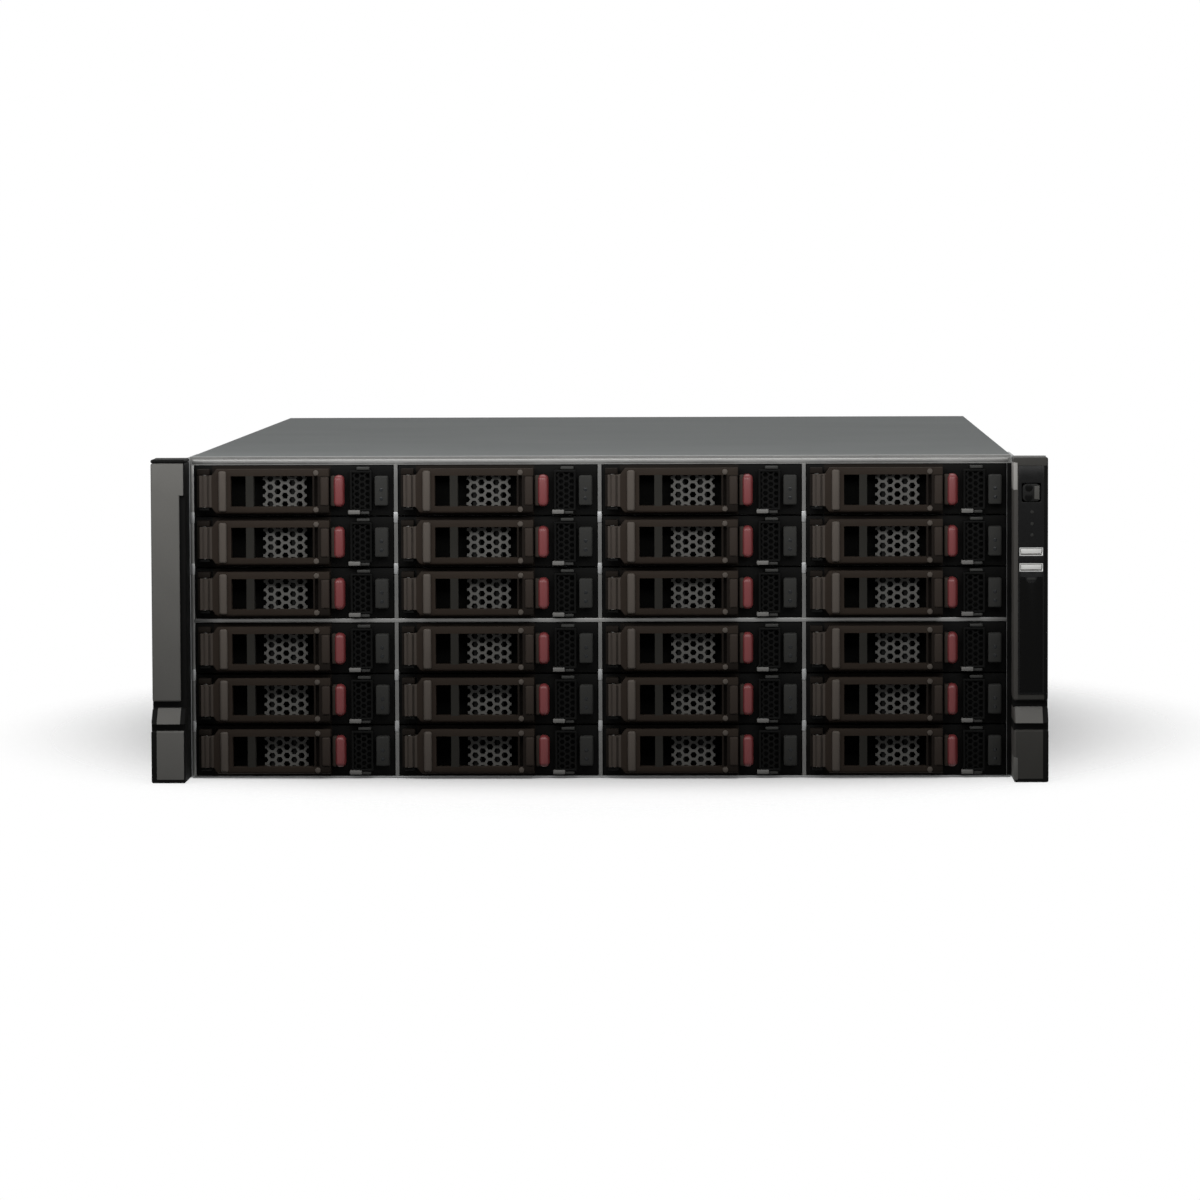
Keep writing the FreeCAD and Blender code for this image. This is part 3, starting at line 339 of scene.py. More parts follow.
for i in range(MODULES):
    x = sink_x + SINK_SIZE + 12 + i * MODULE_PITCH
    y = (sink_y + SINK_SIZE - MODULE_LONG, sink_y + SINK_SIZE)
    block(boards, (x, y[0], top), (x + 5, y[1], top + 8), 0.5, 1, BLACK)
    block(boards, (x + 1.8, y[0] + 2, top + 6), (x + 3.2, y[1] - 2, top + 34), 0.2, 1, GREEN)
    for j in range(CHIPS):
        start = y[0] + 8 + j * CHIP_PITCH
        block(boards, (x + 0.9, start, top + 15), (x + 4.1, start + 11, top + 29), 0.3, 1, BLACK)
CARD_Y = (BOARD_Y[1] - 130, BOARD_Y[1] - 42)
for x in slot_xs:
    block(boards, (x - 3.7, CARD_Y[0], top), (x + 3.7, CARD_Y[1], top + 11), 0.7, 1, BLACK)
    block(boards, (x - 0.8, CARD_Y[0] + 4, top + 10), (x + 0.8, CARD_Y[1] - 4, top + 11.2),
          0, 1, GOLD)
for i in range(9):
    capacitor = (sink_x - 14 - (i % 3) * 10, sink_y + 8 + (i // 3) * 12, top)
    peg(boards, capacitor, "+z", 3.5, 9, 0.6, 16, ALUMINIUM)
block(boards, (BOARD_X[1] - 16, BOARD_Y[0] + 14, top),
      (BOARD_X[1] - 4, BOARD_Y[0] + 66, top + 12), 0.8, 1, BLACK)
block(boards, (sink_x + 20, BOARD_Y[0] + 12, top),
      (sink_x + 52, BOARD_Y[0] + 44, top + 4), 0.5, 1, BLACK)
peg(boards, (BOARD_X[0] + 22, BOARD_Y[0] + 40, top), "+z", 10, 4, 0.6, 32, PORT)


def within(value, *spans):
    return any(low < value < high for low, high in spans)


def face_out(bm):
    bmesh.ops.recalc_face_normals(bm, faces=bm.faces[:])


def cut(bm, point, way, parts=None, **options):
    """Cuts a shape, or only some parts of it, along a plane."""
    parts = parts or bm.verts[:] + bm.edges[:] + bm.faces[:]
    bmesh.ops.bisect_plane(bm, geom=parts, dist=1e-4, plane_co=point, plane_no=way, **options)


def push(bm, faces, run):
    """Draws faces out along a run."""
    made = bmesh.ops.extrude_face_region(bm, geom=faces)["geom"]
    bmesh.ops.translate(bm, verts=[v for v in made if isinstance(v, bmesh.types.BMVert)], vec=run)


def plate(xs, zs, front, back, keep):
    """Plate that faces the front, marked along x and z, without the fields that aren't kept."""
    sheet = bmesh.new()
    middle = Vector(((xs[0] + xs[-1]) / 2, front, (zs[0] + zs[-1]) / 2))
    size = Matrix.Diagonal((xs[-1] - xs[0], zs[-1] - zs[0], 1, 1))
    bmesh.ops.create_grid(sheet, x_segments=1, y_segments=1, size=0.5,
                          matrix=facing(middle, "-y") @ size)
    for x in xs[1:-1]:
        cut(sheet, (x, 0, 0), (1, 0, 0))
    for z in zs[1:-1]:
        cut(sheet, (0, 0, z), (0, 0, 1))
    gone = [f for f in sheet.faces if not keep(*f.calc_center_median().xz)]
    bmesh.ops.delete(sheet, geom=gone, context="FACES")
    push(sheet, sheet.faces[:], (0, back - front, 0))
    face_out(sheet)
    return sheet


def tube(x, z, wall, front, back):
    """Square tube along the depth, its walls all of one thickness."""
    inner_x, inner_z = (x[0] + wall, x[1] - wall), (z[0] + wall, z[1] - wall)
    return plate((x[0], *inner_x, x[1]), (z[0], *inner_z, z[1]), front, back,
                 lambda a, b: not (within(a, inner_x) and within(b, inner_z)))


def round_edges(bm, width, segments=2):
    """Rounds off every edge of a plate that isn't flat."""
    bevel(bm, [e for e in bm.edges if e.is_manifold and e.calc_face_angle() > 0.6], width, segments)


PORT_SIZES = ((31, 12.5), (31, 12.5), (14.5, 16), (14.5, 16), (16.5, 13.5), (16.5, 13.5))
PORT_WALL, PORT_STEP, PORT_DEEP, PORTS_LEFT = 1, 4.97, 22, -22.8
insert_y = rear_y - 9
left = PORTS_LEFT + PORT_STEP
for wide, tall in PORT_SIZES:
    shell = tube((left, left + wide), (top, top + tall), PORT_WALL, rear_y - PORT_DEEP, rear_y)
    round_edges(shell, 0.2, 1)
    join(boards, shell, finish=PORT)
    x = (left + PORT_WALL, left + wide - PORT_WALL)
    z = (top + PORT_WALL, top + tall - PORT_WALL)
    block(boards, (x[0], rear_y - PORT_DEEP + 0.5, z[0]), (x[1], insert_y, z[1]), 0, 1, BLACK)
    if wide > 20:
        block(boards, (x[0] + 5, insert_y, z[0] + 3), (x[1] - 5, rear_y - 2, z[1] - 3),
              0.4, 1, BLACK)
        for i in range(8):
            a = x[0] + 6.5 + i * 2.1
            block(boards, (a, rear_y - 4, z[0] + 2.8), (a + 0.9, rear_y - 2, z[0] + 3.2), 0, 1, GOLD)
    elif tall > 15:
        for b in (z[0] + 3.4, z[0] + 10.4):
            block(boards, (x[0] + 1.5, insert_y, b - 0.9), (x[1] - 1.5, rear_y - 1.5, b + 0.9),
                  0.2, 1, BLACK)
        b = sum(z) / 2
        block(boards, (x[0], insert_y, b - 0.5), (x[1], rear_y - 0.3, b + 0.5), 0, 1, PORT)
    else:
        for i in range(8):
            a = x[0] + 2.6 + i * 1.3
            block(boards, (a, insert_y, z[1] - 2.2), (a + 0.5, rear_y - 3, z[1] - 1.8), 0, 1, GOLD)
    left += wide + PORT_STEP
piece("circuit_boards_full", boards,
      [board_green, sink_aluminium, port_steel, socket_black, contact_gold],
      "chassis", ["circuit_boards"])


# Rear fans. Black glass-filled frames, rotors with seven swept blades on a round hub, and a chromed
# wire guard outside the rear wall of each fan.
fan_black = moulded("fan_black", rgb(20, 20, 21), rgb(36, 36, 37), 0.45, 0.8)
dress(fan_black, "fan_frames")
wire_chrome = plated("wire_chrome", rgb(150, 150, 150), rgb(196, 196, 195), 0.2, 0.12, 2)
HUB_R, HUB_LENGTH, HUB_REAR = 17, 18, front_y + 654.3
BLADES, BLADE_ROOT, BLADE_TIP, BLADE_THICK = 7, 16.6, 36.4, 1.4
ROOT_PITCH, TWIST, ROOT_CHORD, FLARE, CAMBER, SWEEP = 50, 14, 13, 7, 2.2, 0.25
WIRE_R, RINGS, SPOKE_LENGTH = 0.9, (12, 20, 28, 36), FAN_SCREWS * 1.36


def weld(bm):
    bmesh.ops.remove_doubles(bm, verts=bm.verts[:], dist=1e-3)


blade = bmesh.new()
bmesh.ops.create_grid(blade, x_segments=6, y_segments=6, size=0.5)
for vert in blade.verts:
    chord, out = vert.co.x, vert.co.y + 0.5
    radius = BLADE_ROOT + out * (BLADE_TIP - BLADE_ROOT)
    pitch = math.radians(ROOT_PITCH - TWIST * out)
    wide = (ROOT_CHORD + FLARE * out) * chord
    camber = CAMBER * (0.25 - chord * chord) * 4
    turn = (wide * math.cos(pitch) + camber * math.sin(pitch)) / radius + SWEEP * out
    depth = wide * math.sin(pitch) - camber * math.cos(pitch)
    vert.co = (radius * math.sin(turn), depth, radius * math.cos(turn))
bmesh.ops.solidify(blade, geom=blade.faces[:], thickness=BLADE_THICK)
rotor = bmesh.new()
peg(rotor, (0, HUB_LENGTH / 2, 0), "-y", HUB_R, HUB_LENGTH, 2, 48)
for i in range(BLADES):
    join(rotor, blade)
    bmesh.ops.rotate(blade, verts=blade.verts[:], cent=(0, 0, 0),
                     matrix=Matrix.Rotation(2 * math.pi / BLADES, 3, "Y"))
face_out(rotor)

guard = bmesh.new()
for ring in RINGS:
    circle = bmesh.new()
    out = Matrix.Translation((ring, 0, 0))
    bmesh.ops.create_circle(circle, segments=8, radius=WIRE_R, matrix=out)
    bmesh.ops.spin(circle, geom=circle.edges[:], cent=(0, 0, 0), axis=(0, 1, 0), angle=2 * math.pi,
                   steps=56, use_merge=True)
    weld(circle)
    face_out(circle)
    join(guard, circle)
for turn in (math.pi / 4, 3 * math.pi / 4):
    spoke = Matrix.Rotation(turn, 4, "Y") @ Matrix.Translation((0, 1.2, 0))
    bmesh.ops.create_cone(guard, cap_ends=True, segments=8, radius1=WIRE_R, radius2=WIRE_R,
                          depth=SPOKE_LENGTH, matrix=spoke)
for i, x in enumerate(fan_xs, 1):
    piece(f"fan_guard_{i}", guard, [wire_chrome], "chassis", at=(x, rear_y + WIRE_R, fan_z))
    piece(f"fan_rotor_full_{i}", rotor, [fan_black], f"fan_rotor_{i}",
          [f"fan_rotor_{i}"], (x, HUB_REAR - HUB_LENGTH / 2, fan_z))


# Power supplies. Steel cases that slide in from the rear, each with a perforated end, a mains inlet
# in black plastic with three blades, a moulded pull handle and a red locking tab.
supply_steel = rolled_steel("supply_steel", rgb(132, 133, 133), rgb(166, 167, 166))
handle_black = moulded("handle_black", rgb(22, 22, 22), rgb(38, 38, 37), 0.5)
release_red = moulded("release_red", rgb(118, 34, 40), rgb(150, 50, 56), 0.34, 0.6, 0.01, 0.35)
STEEL, HANDLE, RED, BLADE_PIN = range(4)
END_DEEP, END_EDGE, INLET_HALF, INLET_RIM, PIN_PITCH, ARM = 14, 4, 10, 1.5, 6.75, 5


def hex_screen(x, z, y, pitch, web, thick):
    """Sheet of six-sided holes in columns that fills a field, its outer holes cut off straight."""
    sheet = bmesh.new()
    radius = pitch / math.sqrt(3)
    rows = int((z[1] - z[0]) / pitch) + 2
    columns = int((x[1] - x[0]) / (1.5 * radius)) + 2
    for row in range(rows):
        for column in range(columns):
            at = (x[0] + column * 1.5 * radius, y, z[0] + (row + column % 2 / 2) * pitch)
            turned = facing(at, "-y") @ Matrix.Rotation(QUARTER, 4, "Z")
            bmesh.ops.create_circle(sheet, cap_ends=True, segments=6, radius=radius, matrix=turned)
    weld(sheet)
    holes = sheet.faces[:]
    bmesh.ops.inset_individual(sheet, faces=holes, thickness=web / 2, use_even_offset=True)
    bmesh.ops.delete(sheet, geom=holes, context="FACES")
    for point, way in (((x[0], 0, 0), (-1, 0, 0)), ((x[1], 0, 0), (1, 0, 0)),
                       ((0, 0, z[0]), (0, 0, -1)), ((0, 0, z[1]), (0, 0, 1))):
        cut(sheet, point, way, clear_outer=True)
    face_out(sheet)
    bmesh.ops.solidify(sheet, geom=sheet.faces[:], thickness=thick)
    face_out(sheet)
    return sheet


for level in (1, 2):
    low, high = box_of(f"power_supply_{level}")
    end, middle = rear_y + 1, (low.z + high.z) / 2
    inlet_x, inlet_z = (high.x - 33, high.x - 6), (middle - INLET_HALF, middle + INLET_HALF)
    grille_x, grille_z = (low.x + 3, low.x + 36), (low.z + END_EDGE, high.z - END_EDGE)
    supply = bmesh.new()
    block(supply, low, (high.x, end - END_DEEP, high.z), 0.5, 2, STEEL)
    end_frame = plate((low.x, *grille_x, *inlet_x, high.x),
                      (low.z, grille_z[0], *inlet_z, grille_z[1], high.z), end - END_DEEP, end,
                      lambda a, b: not (within(a, inlet_x) and within(b, inlet_z)
                                        or within(a, grille_x) and within(b, grille_z)))
    round_edges(end_frame, 0.4)
    join(supply, end_frame, finish=STEEL)
    join(supply, hex_screen(grille_x, grille_z, end - 1.2, 4.2, 1, 0.8), finish=STEEL)
    rim = tube(inlet_x, inlet_z, INLET_RIM, end - END_DEEP + 0.5, end - 0.4)
    round_edges(rim, 0.4)
    join(supply, rim, finish=HANDLE)
    block(supply, (inlet_x[0], end - END_DEEP, inlet_z[0]),
          (inlet_x[1], end - END_DEEP + 1.5, inlet_z[1]), 0, 1, HANDLE)
    for i in (-1, 0, 1):
        x = sum(inlet_x) / 2 + i * PIN_PITCH
        block(supply, (x - 1, end - 13, middle - 3.6), (x + 1, end - 3.5, middle + 3.6),
              0.5, 2, BLADE_PIN)
    arms_x, arms_z = (low.x + 6, low.x + 30), (low.z + 6, high.z - 6)
    for z in ((arms_z[0], arms_z[0] + ARM), (arms_z[1] - ARM, arms_z[1])):
        block(supply, (arms_x[0], end - 1, z[0]), (arms_x[1], high.y - 1, z[1]), 1.6, 3, HANDLE)
    block(supply, (arms_x[0], high.y - ARM, arms_z[0]), (arms_x[1], high.y, arms_z[1]), 2, 3, HANDLE)
    block(supply, (low.x + 31.5, end - 1, middle - 9), (low.x + 37, end + 9, middle + 2),
          1.2, 3, RED)
    peg(supply, (low.x + 36, end, middle + 9), "+y", 1.6, 0.8, 0.4, 16, BLADE_PIN)
    piece(f"power_supply_full_{level}", supply,
          [supply_steel, handle_black, release_red, screw_nickel],
          f"power_supply_{level}", [f"power_supply_{level}"])


# Cage trim. Bright folded edges along the top, shelf, foot and left side of the cage, and small
# bright blocks on its uprights, one at each gap between two rows, that stand in for glints there:
# painted highlight. Zinc-coated steel, spot welded.
edge_zinc = rolled_steel("edge_zinc", rgb(102, 102, 101), rgb(129, 129, 127))
FOOT, EDGE_STRIP, UPRIGHT = range(3)
STRIPS = (((171.3, 173.7), EDGE_STRIP), ((84.9, 87.1), EDGE_STRIP), ((0.1, 1.1), FOOT))
STRIP_END, GLINT_WIDE, GLINT_LOW, GLINT_HIGH, DIVIDER = 1.3, 2.5, 3.8, 2.4, 2
ROWS_WITHOUT_GLINT = "36"
trim = bmesh.new()
for z, finish in STRIPS:
    block(trim, (base_low.x + STRIP_END, front_y - 0.5, z[0]),
          (base_high.x - STRIP_END, front_y + 0.2, z[1]), 0.2, 2, finish)
block(trim, (base_low.x + 0.05, front_y - 0.45, STRIP_END),
      (base_low.x + 2.15, front_y + 0.2, CAGE_TOP), 0.2, 2, UPRIGHT)
# Bright blocks at the gaps between rows: painted highlight.
for bay, corner in each_bay():
    if bay[1] in ROWS_WITHOUT_GLINT:
        continue
    x = corner.x - DIVIDER / 2
    block(trim, (x - GLINT_WIDE / 2, front_y - 0.8, corner.z - GLINT_LOW),
          (x + GLINT_WIDE / 2, front_y + 0.1, corner.z + GLINT_HIGH), 0.5, 2, FOOT)
piece("cage_trim", trim, [chassis_zinc, edge_zinc, cage_zinc_shaded], "chassis")


# Drive trays. Each is a folded steel frame around a 3.5 inch drive with a dark cast body and a lid.
# In the bezel's air window stands a punched grey screen of six-sided holes, with a black sheet
# behind it as painted shade.
drive_dark = moulded("drive_dark", rgb(44, 45, 46), rgb(66, 67, 68), 0.42, 0.7, 0.02, 0.2)
screen_grey = moulded("screen_grey", rgb(78, 77, 75), rgb(100, 99, 96), 0.4, 0.5, 0.01, 0.15)
shade_sheet_black = moulded("shade_sheet_black", rgb(14, 14, 13), rgb(22, 22, 21), 0.8, 0.8, 0.1, 0.02)
tray_zinc = rolled_steel("tray_zinc", rgb(104, 105, 105), rgb(132, 133, 133), 0.6)
TRAY, DRIVE, SCREEN, SHADE_SHEET, SCREW = range(5)
MID = ROW_PITCH / 2
WINDOW_X, WINDOW_HALF = (19.4, 66.1), 9.5
WINDOW_Z = (MID - WINDOW_HALF, MID + WINDOW_HALF)
SCREEN_X, SCREEN_HOLES = (37.6, 61.3), (4.6, 1.4, 0.8)
RAILS_X, RAIL_FRONT, RAIL_FOOT = ((0.9, 3.2), (105.4, 107.7)), 3, 1.3
LID_X, LID_Y = (6.4, 9.4, 20.4, 88.4, 99.4, 102.2), (9, 14, 28, 130, 146, 150)
LID_TOP, LID_THICK = 27.5, 0.9

tray = bmesh.new()
for x in RAILS_X:
    block(tray, (x[0], RAIL_FRONT, RAIL_FOOT), (x[1], 149, 25.3), 0.4, 2, TRAY)
block(tray, (RAILS_X[0][0], RAIL_FRONT, RAIL_FOOT), (RAILS_X[1][1], 4, 4.4), 0.2, 1, TRAY)
block(tray, (3.5, 6, 1.5), (105.1, 153, 26.6), 1.6, 3, DRIVE)
lid = plate(LID_X, LID_Y, 0, LID_THICK,
            lambda a, b: within(a, (LID_X[1], LID_X[-2])) or within(b, (LID_Y[1], LID_Y[-2])))
bmesh.ops.rotate(lid, verts=lid.verts[:], cent=(0, 0, 0), matrix=Matrix.Rotation(-QUARTER, 3, "X"))
bmesh.ops.scale(lid, verts=lid.verts[:], vec=(1, 1, -1))
face_out(lid)
round_edges(lid, 0.3)
join(tray, lid, (0, 0, LID_TOP), TRAY)
for x in (10.9, 97.7):
    for y in (18, 80, 141):
        peg(tray, (x, y, LID_TOP - 0.05), "+z", 2, 0.12, 0, 16, SCREW)
peg(tray, (54.3, 88, LID_TOP - 0.2), "+z", 14, 0.28, 0.1, 40, DRIVE)
join(tray, hex_screen(SCREEN_X, WINDOW_Z, 0.4, *SCREEN_HOLES), finish=SCREEN)
# Black sheet across the window, behind the screen: painted shade.
block(tray, (WINDOW_X[0], 4.2, WINDOW_Z[0]), (WINDOW_X[1], 5.8, WINDOW_Z[1]), 0, 1, SHADE_SHEET)

for bay, corner in each_bay():
    piece(f"drive_tray_{bay}", tray, [tray_zinc, drive_dark, screen_grey, shade_sheet_black, screw_nickel],
          f"carrier_{bay}", at=corner)


# Carrier bezels. Moulded plates, dark umber around the lever and black beside it, with the lugs and
# pin that the lever turns on, a vent of six-sided holes, a bright spring tab and a grey block with
# lamps.
carrier_black = moulded("carrier_black", rgb(12, 12, 12), rgb(20, 20, 19), 0.5, 0.6, 0.02, 0.04)
bezel_umber = moulded("bezel_umber", rgb(24, 20, 18), rgb(33, 29, 25), 0.5, 0.6, 0.02, 0.04)
lamp_grey = moulded("lamp_grey", rgb(44, 44, 43), rgb(56, 56, 54), 0.45, 0.6, 0.02, 0.06)
tab_grey = moulded("tab_grey", rgb(100, 99, 97), rgb(120, 119, 116), 0.35, 0.6, 0.02, 0.2)
lamp_smoke = moulded("lamp_smoke", rgb(14, 16, 18), rgb(24, 27, 30), 0.15, 1.5, 0.005, 0.2)
ledge_grey = moulded("ledge_grey", rgb(46, 46, 45), rgb(60, 60, 58), 0.35, 0.6, 0.02, 0.12)
BEZEL, AROUND, LAMPS, SMOKE, LEDGE, TAB, PIN = range(7)
BEZEL_THICK, SEAT = 3, 0.5
UMBER_X, VENT_X, LAMP_X = (10, 74.2), (85, 96.9), (98.5, 105.7)
LEVER_X, LEVER_HALF, GRIP_HALF = (2.2, 73.8), 12, 8.6
HINGE_X, HINGE_Y, LUG_R, LUG_FROM = 6.1, -5, 2.9, 8.9
VENT_HALF, VENT_WALL, VENT_HOLES = 11, 1.2, (3.3, 0.9, 0.8)

bezel = bmesh.new()
front_plate = plate((BEZEL_GAP, UMBER_X[0], *WINDOW_X, UMBER_X[1], BAY_WIDTH - BEZEL_GAP),
                    (BEZEL_GAP, *WINDOW_Z, ROW_PITCH - BEZEL_GAP), 0, BEZEL_THICK,
                    lambda a, b: not (within(a, WINDOW_X) and within(b, WINDOW_Z)))
round_edges(front_plate, 0.4)
paint([f for f in front_plate.faces if within(f.calc_center_median().x, UMBER_X)], AROUND)
join(bezel, front_plate)
lug_y, lug_right = HINGE_Y - LUG_R, HINGE_X + LUG_R
block(bezel, (LEVER_X[0], lug_y, MID + LUG_FROM), (lug_right, SEAT, MID + LEVER_HALF),
      0.4, 2, AROUND)
block(bezel, (HINGE_X - LUG_R, lug_y, MID - 10.4), (lug_right, SEAT, MID - LUG_FROM), 0.4, 2, BEZEL)
peg(bezel, (HINGE_X, HINGE_Y, MID - 10), "+z", 1.45, 20, 0, 20, PIN)
vent = tube(VENT_X, (MID - VENT_HALF, MID + VENT_HALF), VENT_WALL, -5.5, SEAT)
round_edges(vent, 0.5)
join(bezel, vent, finish=BEZEL)
vent_screen = hex_screen((VENT_X[0] + 1, VENT_X[1] - 1), (MID - 10, MID + 10), -4.2, *VENT_HOLES)
join(bezel, vent_screen, finish=BEZEL)
block(bezel, (LAMP_X[0], -7, MID - 8), (LAMP_X[1], SEAT, MID + 8), 0.9, 3, LAMPS)
for dz in (0.6, -4.2):
    peg(bezel, (sum(LAMP_X) / 2, -6.9, MID + dz), "-y", 1, 0.3, 0.2, 16, SMOKE)
block(bezel, (88.6, -4.5, MID + 11.3), (95.6, SEAT, MID + 12.9), 0.4, 2, LEDGE)
block(bezel, (84, -6.2, MID - 12.7), (90.5, SEAT, MID - 10.4), 0.5, 2, TAB)
block(bezel, (90.6, -4.9, MID - 12.7), (95.4, SEAT, MID - 11.1), 0.4, 2, LEDGE)

for bay, corner in each_bay():
    piece(f"carrier_bezel_{bay}", bezel,
          [carrier_black, bezel_umber, lamp_grey, lamp_smoke, ledge_grey, tab_grey, screw_nickel],
          f"carrier_{bay}", [f"drive_carrier_{bay}"], corner)


# Release buttons. Red moulded bars with a crowned front and a dark lip on the lever's side, pushed
# to free the lever beside them.
button_red = moulded("button_red", rgb(102, 40, 42), rgb(120, 52, 53), 0.3, 0.6, 0.01, 0.4)
lip_umber = moulded("lip_umber", rgb(48, 42, 38), rgb(60, 53, 48), 0.42, 0.6, 0.015, 0.05)
BUTTON, LIP = range(2)
button = bmesh.new()
block(button, (76, -8.6, MID - 8.6), (82, SEAT, MID + 8.6), 2.7, 6, BUTTON)
block(button, (74.6, -7.4, MID - 8.2), (77.4, SEAT, MID + 8.2), 0.8, 3, LIP)
for bay, corner in each_bay():
    piece(f"release_button_{bay}", button, [button_red, lip_umber], f"carrier_{bay}", at=corner)


# Eject levers. Moulded handles with a ribbed grip at the hinge, a tall shoulder, windows in a dark
# umber frame, a lighter end that the release button holds, and two studs. The shoulder and the studs
# are in a lighter plastic as painted highlight. A punched screen is moulded in before the last two
# bars, in line with the carrier's own.
lever_umber = moulded("lever_umber", rgb(40, 34, 30), rgb(51, 44, 38), 0.42, 0.6, 0.015, 0.04)
lever_grip = moulded("lever_grip", rgb(61, 56, 51), rgb(78, 71, 66), 0.4, 0.6, 0.015, 0.05)
lever_highlight = moulded("lever_highlight", rgb(80, 74, 69), rgb(96, 90, 84), 0.38, 0.6, 0.015, 0.05)
lever_bar = moulded("lever_bar", rgb(38, 37, 34), rgb(50, 49, 46), 0.4, 0.6, 0.015, 0.04)
GRIP, HIGHLIGHT, BAR, END, SHADE, INLAY, DEEP_SHADE = range(1, 8)
LEVER_Y, INLAY_Y = (-9, -1), -2.6
GROOVES = ((4.9, 5.8), (7.8, 9))
GRIP_X, SLOPE_X = (3.6, 10.6), (10.3, 12.8)
SHOULDER, SLIT, END_BLOCK = (14, 18.3), (66, 67.8), 69.3
WINDOWS, WINDOW_TOP = ((20.6, 28.8), (33, 41), (45, 53), (57, 65)), 8.3


def near(a, b):
    """Whether two lengths are the same."""
    return abs(a - b) < 0.01


def sink(sheet, span, half, depth):
    """Lowers the fields of a lever's front in a span of x and half a height about its middle, and
    clears the doubled walls that this leaves at their outer edges."""
    front = min(v.co.y for v in sheet.verts)
    fields = []
    for face in sheet.faces:
        x, y, z = face.calc_center_median()
        if face.normal.y < -0.9 and near(y, front) and within(x, span) and abs(z - MID) < half:
            fields.append(face)
    walls = {f for field in fields for e in field.edges for f in e.link_faces if f.normal.y > -0.9}
    if walls:
        parts = {*walls, *(e for f in walls for e in f.edges), *(v for f in walls for v in f.verts)}
        cut(sheet, (0, front + depth, 0), (0, 1, 0), list(parts))
    push(sheet, fields, (0, depth, 0))
    bmesh.ops.delete(sheet, geom=[f for f in fields if f.is_valid], context="FACES")
    middles = [(f, f.calc_center_median()) for f in sheet.faces]
    twins = [f for f, here in middles
             if any(g is not f and (there - here).length < 1e-3 for g, there in middles)]
    bmesh.ops.delete(sheet, geom=twins, context="FACES")
    weld(sheet)


marks = sorted({*LEVER_X, GRIP_X[0], *SLOPE_X, *SLIT, END_BLOCK, *sum(GROOVES + WINDOWS, ())})
levels = [MID + z for z in (-LEVER_HALF, -GRIP_HALF, -WINDOW_TOP, WINDOW_TOP, GRIP_HALF, LEVER_HALF)]
lever = plate(marks, levels, *LEVER_Y,
              lambda a, b: not (a < SLOPE_X[0] and abs(b - MID) > GRIP_HALF
                                or abs(b - MID) < WINDOW_TOP and within(a, *WINDOWS)))
for vert in lever.verts:
    if vert.co.x < SLOPE_X[0] + 0.1 and abs(vert.co.z - MID) > GRIP_HALF + 0.1:
        vert.co.z = MID + math.copysign(GRIP_HALF, vert.co.z - MID)
weld(lever)
face_out(lever)
sink(lever, (LEVER_X[0], GRIP_X[0]), LEVER_HALF, 2)
sink(lever, GROOVES[0], LEVER_HALF, 0.5)
sink(lever, GROOVES[1], LEVER_HALF, 1.4)
sink(lever, SLIT, WINDOW_TOP, 4)
sink(lever, SCREEN_X, WINDOW_TOP, 7.4)
for z, reach, width in ((levels[0], LEVER_X[1], 1.4), (levels[-2], GRIP_X[1], 1.6)):
    rims = [e for e in lever.edges
            if all(near(v.co.z, z) and v.co.y < LEVER_Y[0] + 0.1 and v.co.x < reach + 0.1
                   for v in e.verts)]
    bevel(lever, rims, width, 3)
round_edges(lever, 0.35)
# Painted shade: the lever's left end and the corner at its far end take the bezel's dark umber, and
# the sunken field behind the screen is black.
for face in lever.faces:
    x, _, z = face.calc_center_median()
    between = abs(z - MID) < WINDOW_TOP - 0.2
    at_end = x > WINDOWS[-1][1] - 0.1 and between or x > SLIT[1] and z < MID - WINDOW_TOP
    if x < GRIP_X[0] or at_end:
        face.material_index = SHADE
    elif x < GRIP_X[1]:
        face.material_index = GRIP
    elif within(x, SCREEN_X) and between:
        face.material_index = DEEP_SHADE
    elif within(x, (WINDOWS[0][1] - 0.1, WINDOWS[1][0] + 0.1)) and between:
        face.material_index = BAR
join(lever, hex_screen(SCREEN_X, WINDOW_Z, INLAY_Y, *SCREEN_HOLES), finish=INLAY)
# Shoulder and studs in a lighter plastic: painted highlight.
block(lever, (SHOULDER[0], -10.5, MID - 11), (SHOULDER[1], -8, MID + 11), 1.3, 4, HIGHLIGHT)
block(lever, (END_BLOCK, -9.9, MID - 7.8), (LEVER_X[1], -8, MID + 7.8), 0.9, 3, END)
for dz in (-10, 10):
    peg(lever, (sum(SLIT) / 2, -8.9, MID + dz), "-y", 1.5, 0.8, 0.5, 16, HIGHLIGHT)

for bay, corner in each_bay():
    piece(f"eject_lever_full_{bay}", lever,
          [lever_umber, lever_grip, lever_highlight, lever_bar, lip_umber, bezel_umber, screen_grey,
           carrier_black],
          f"lever_{bay}", [f"eject_lever_{bay}"], corner)


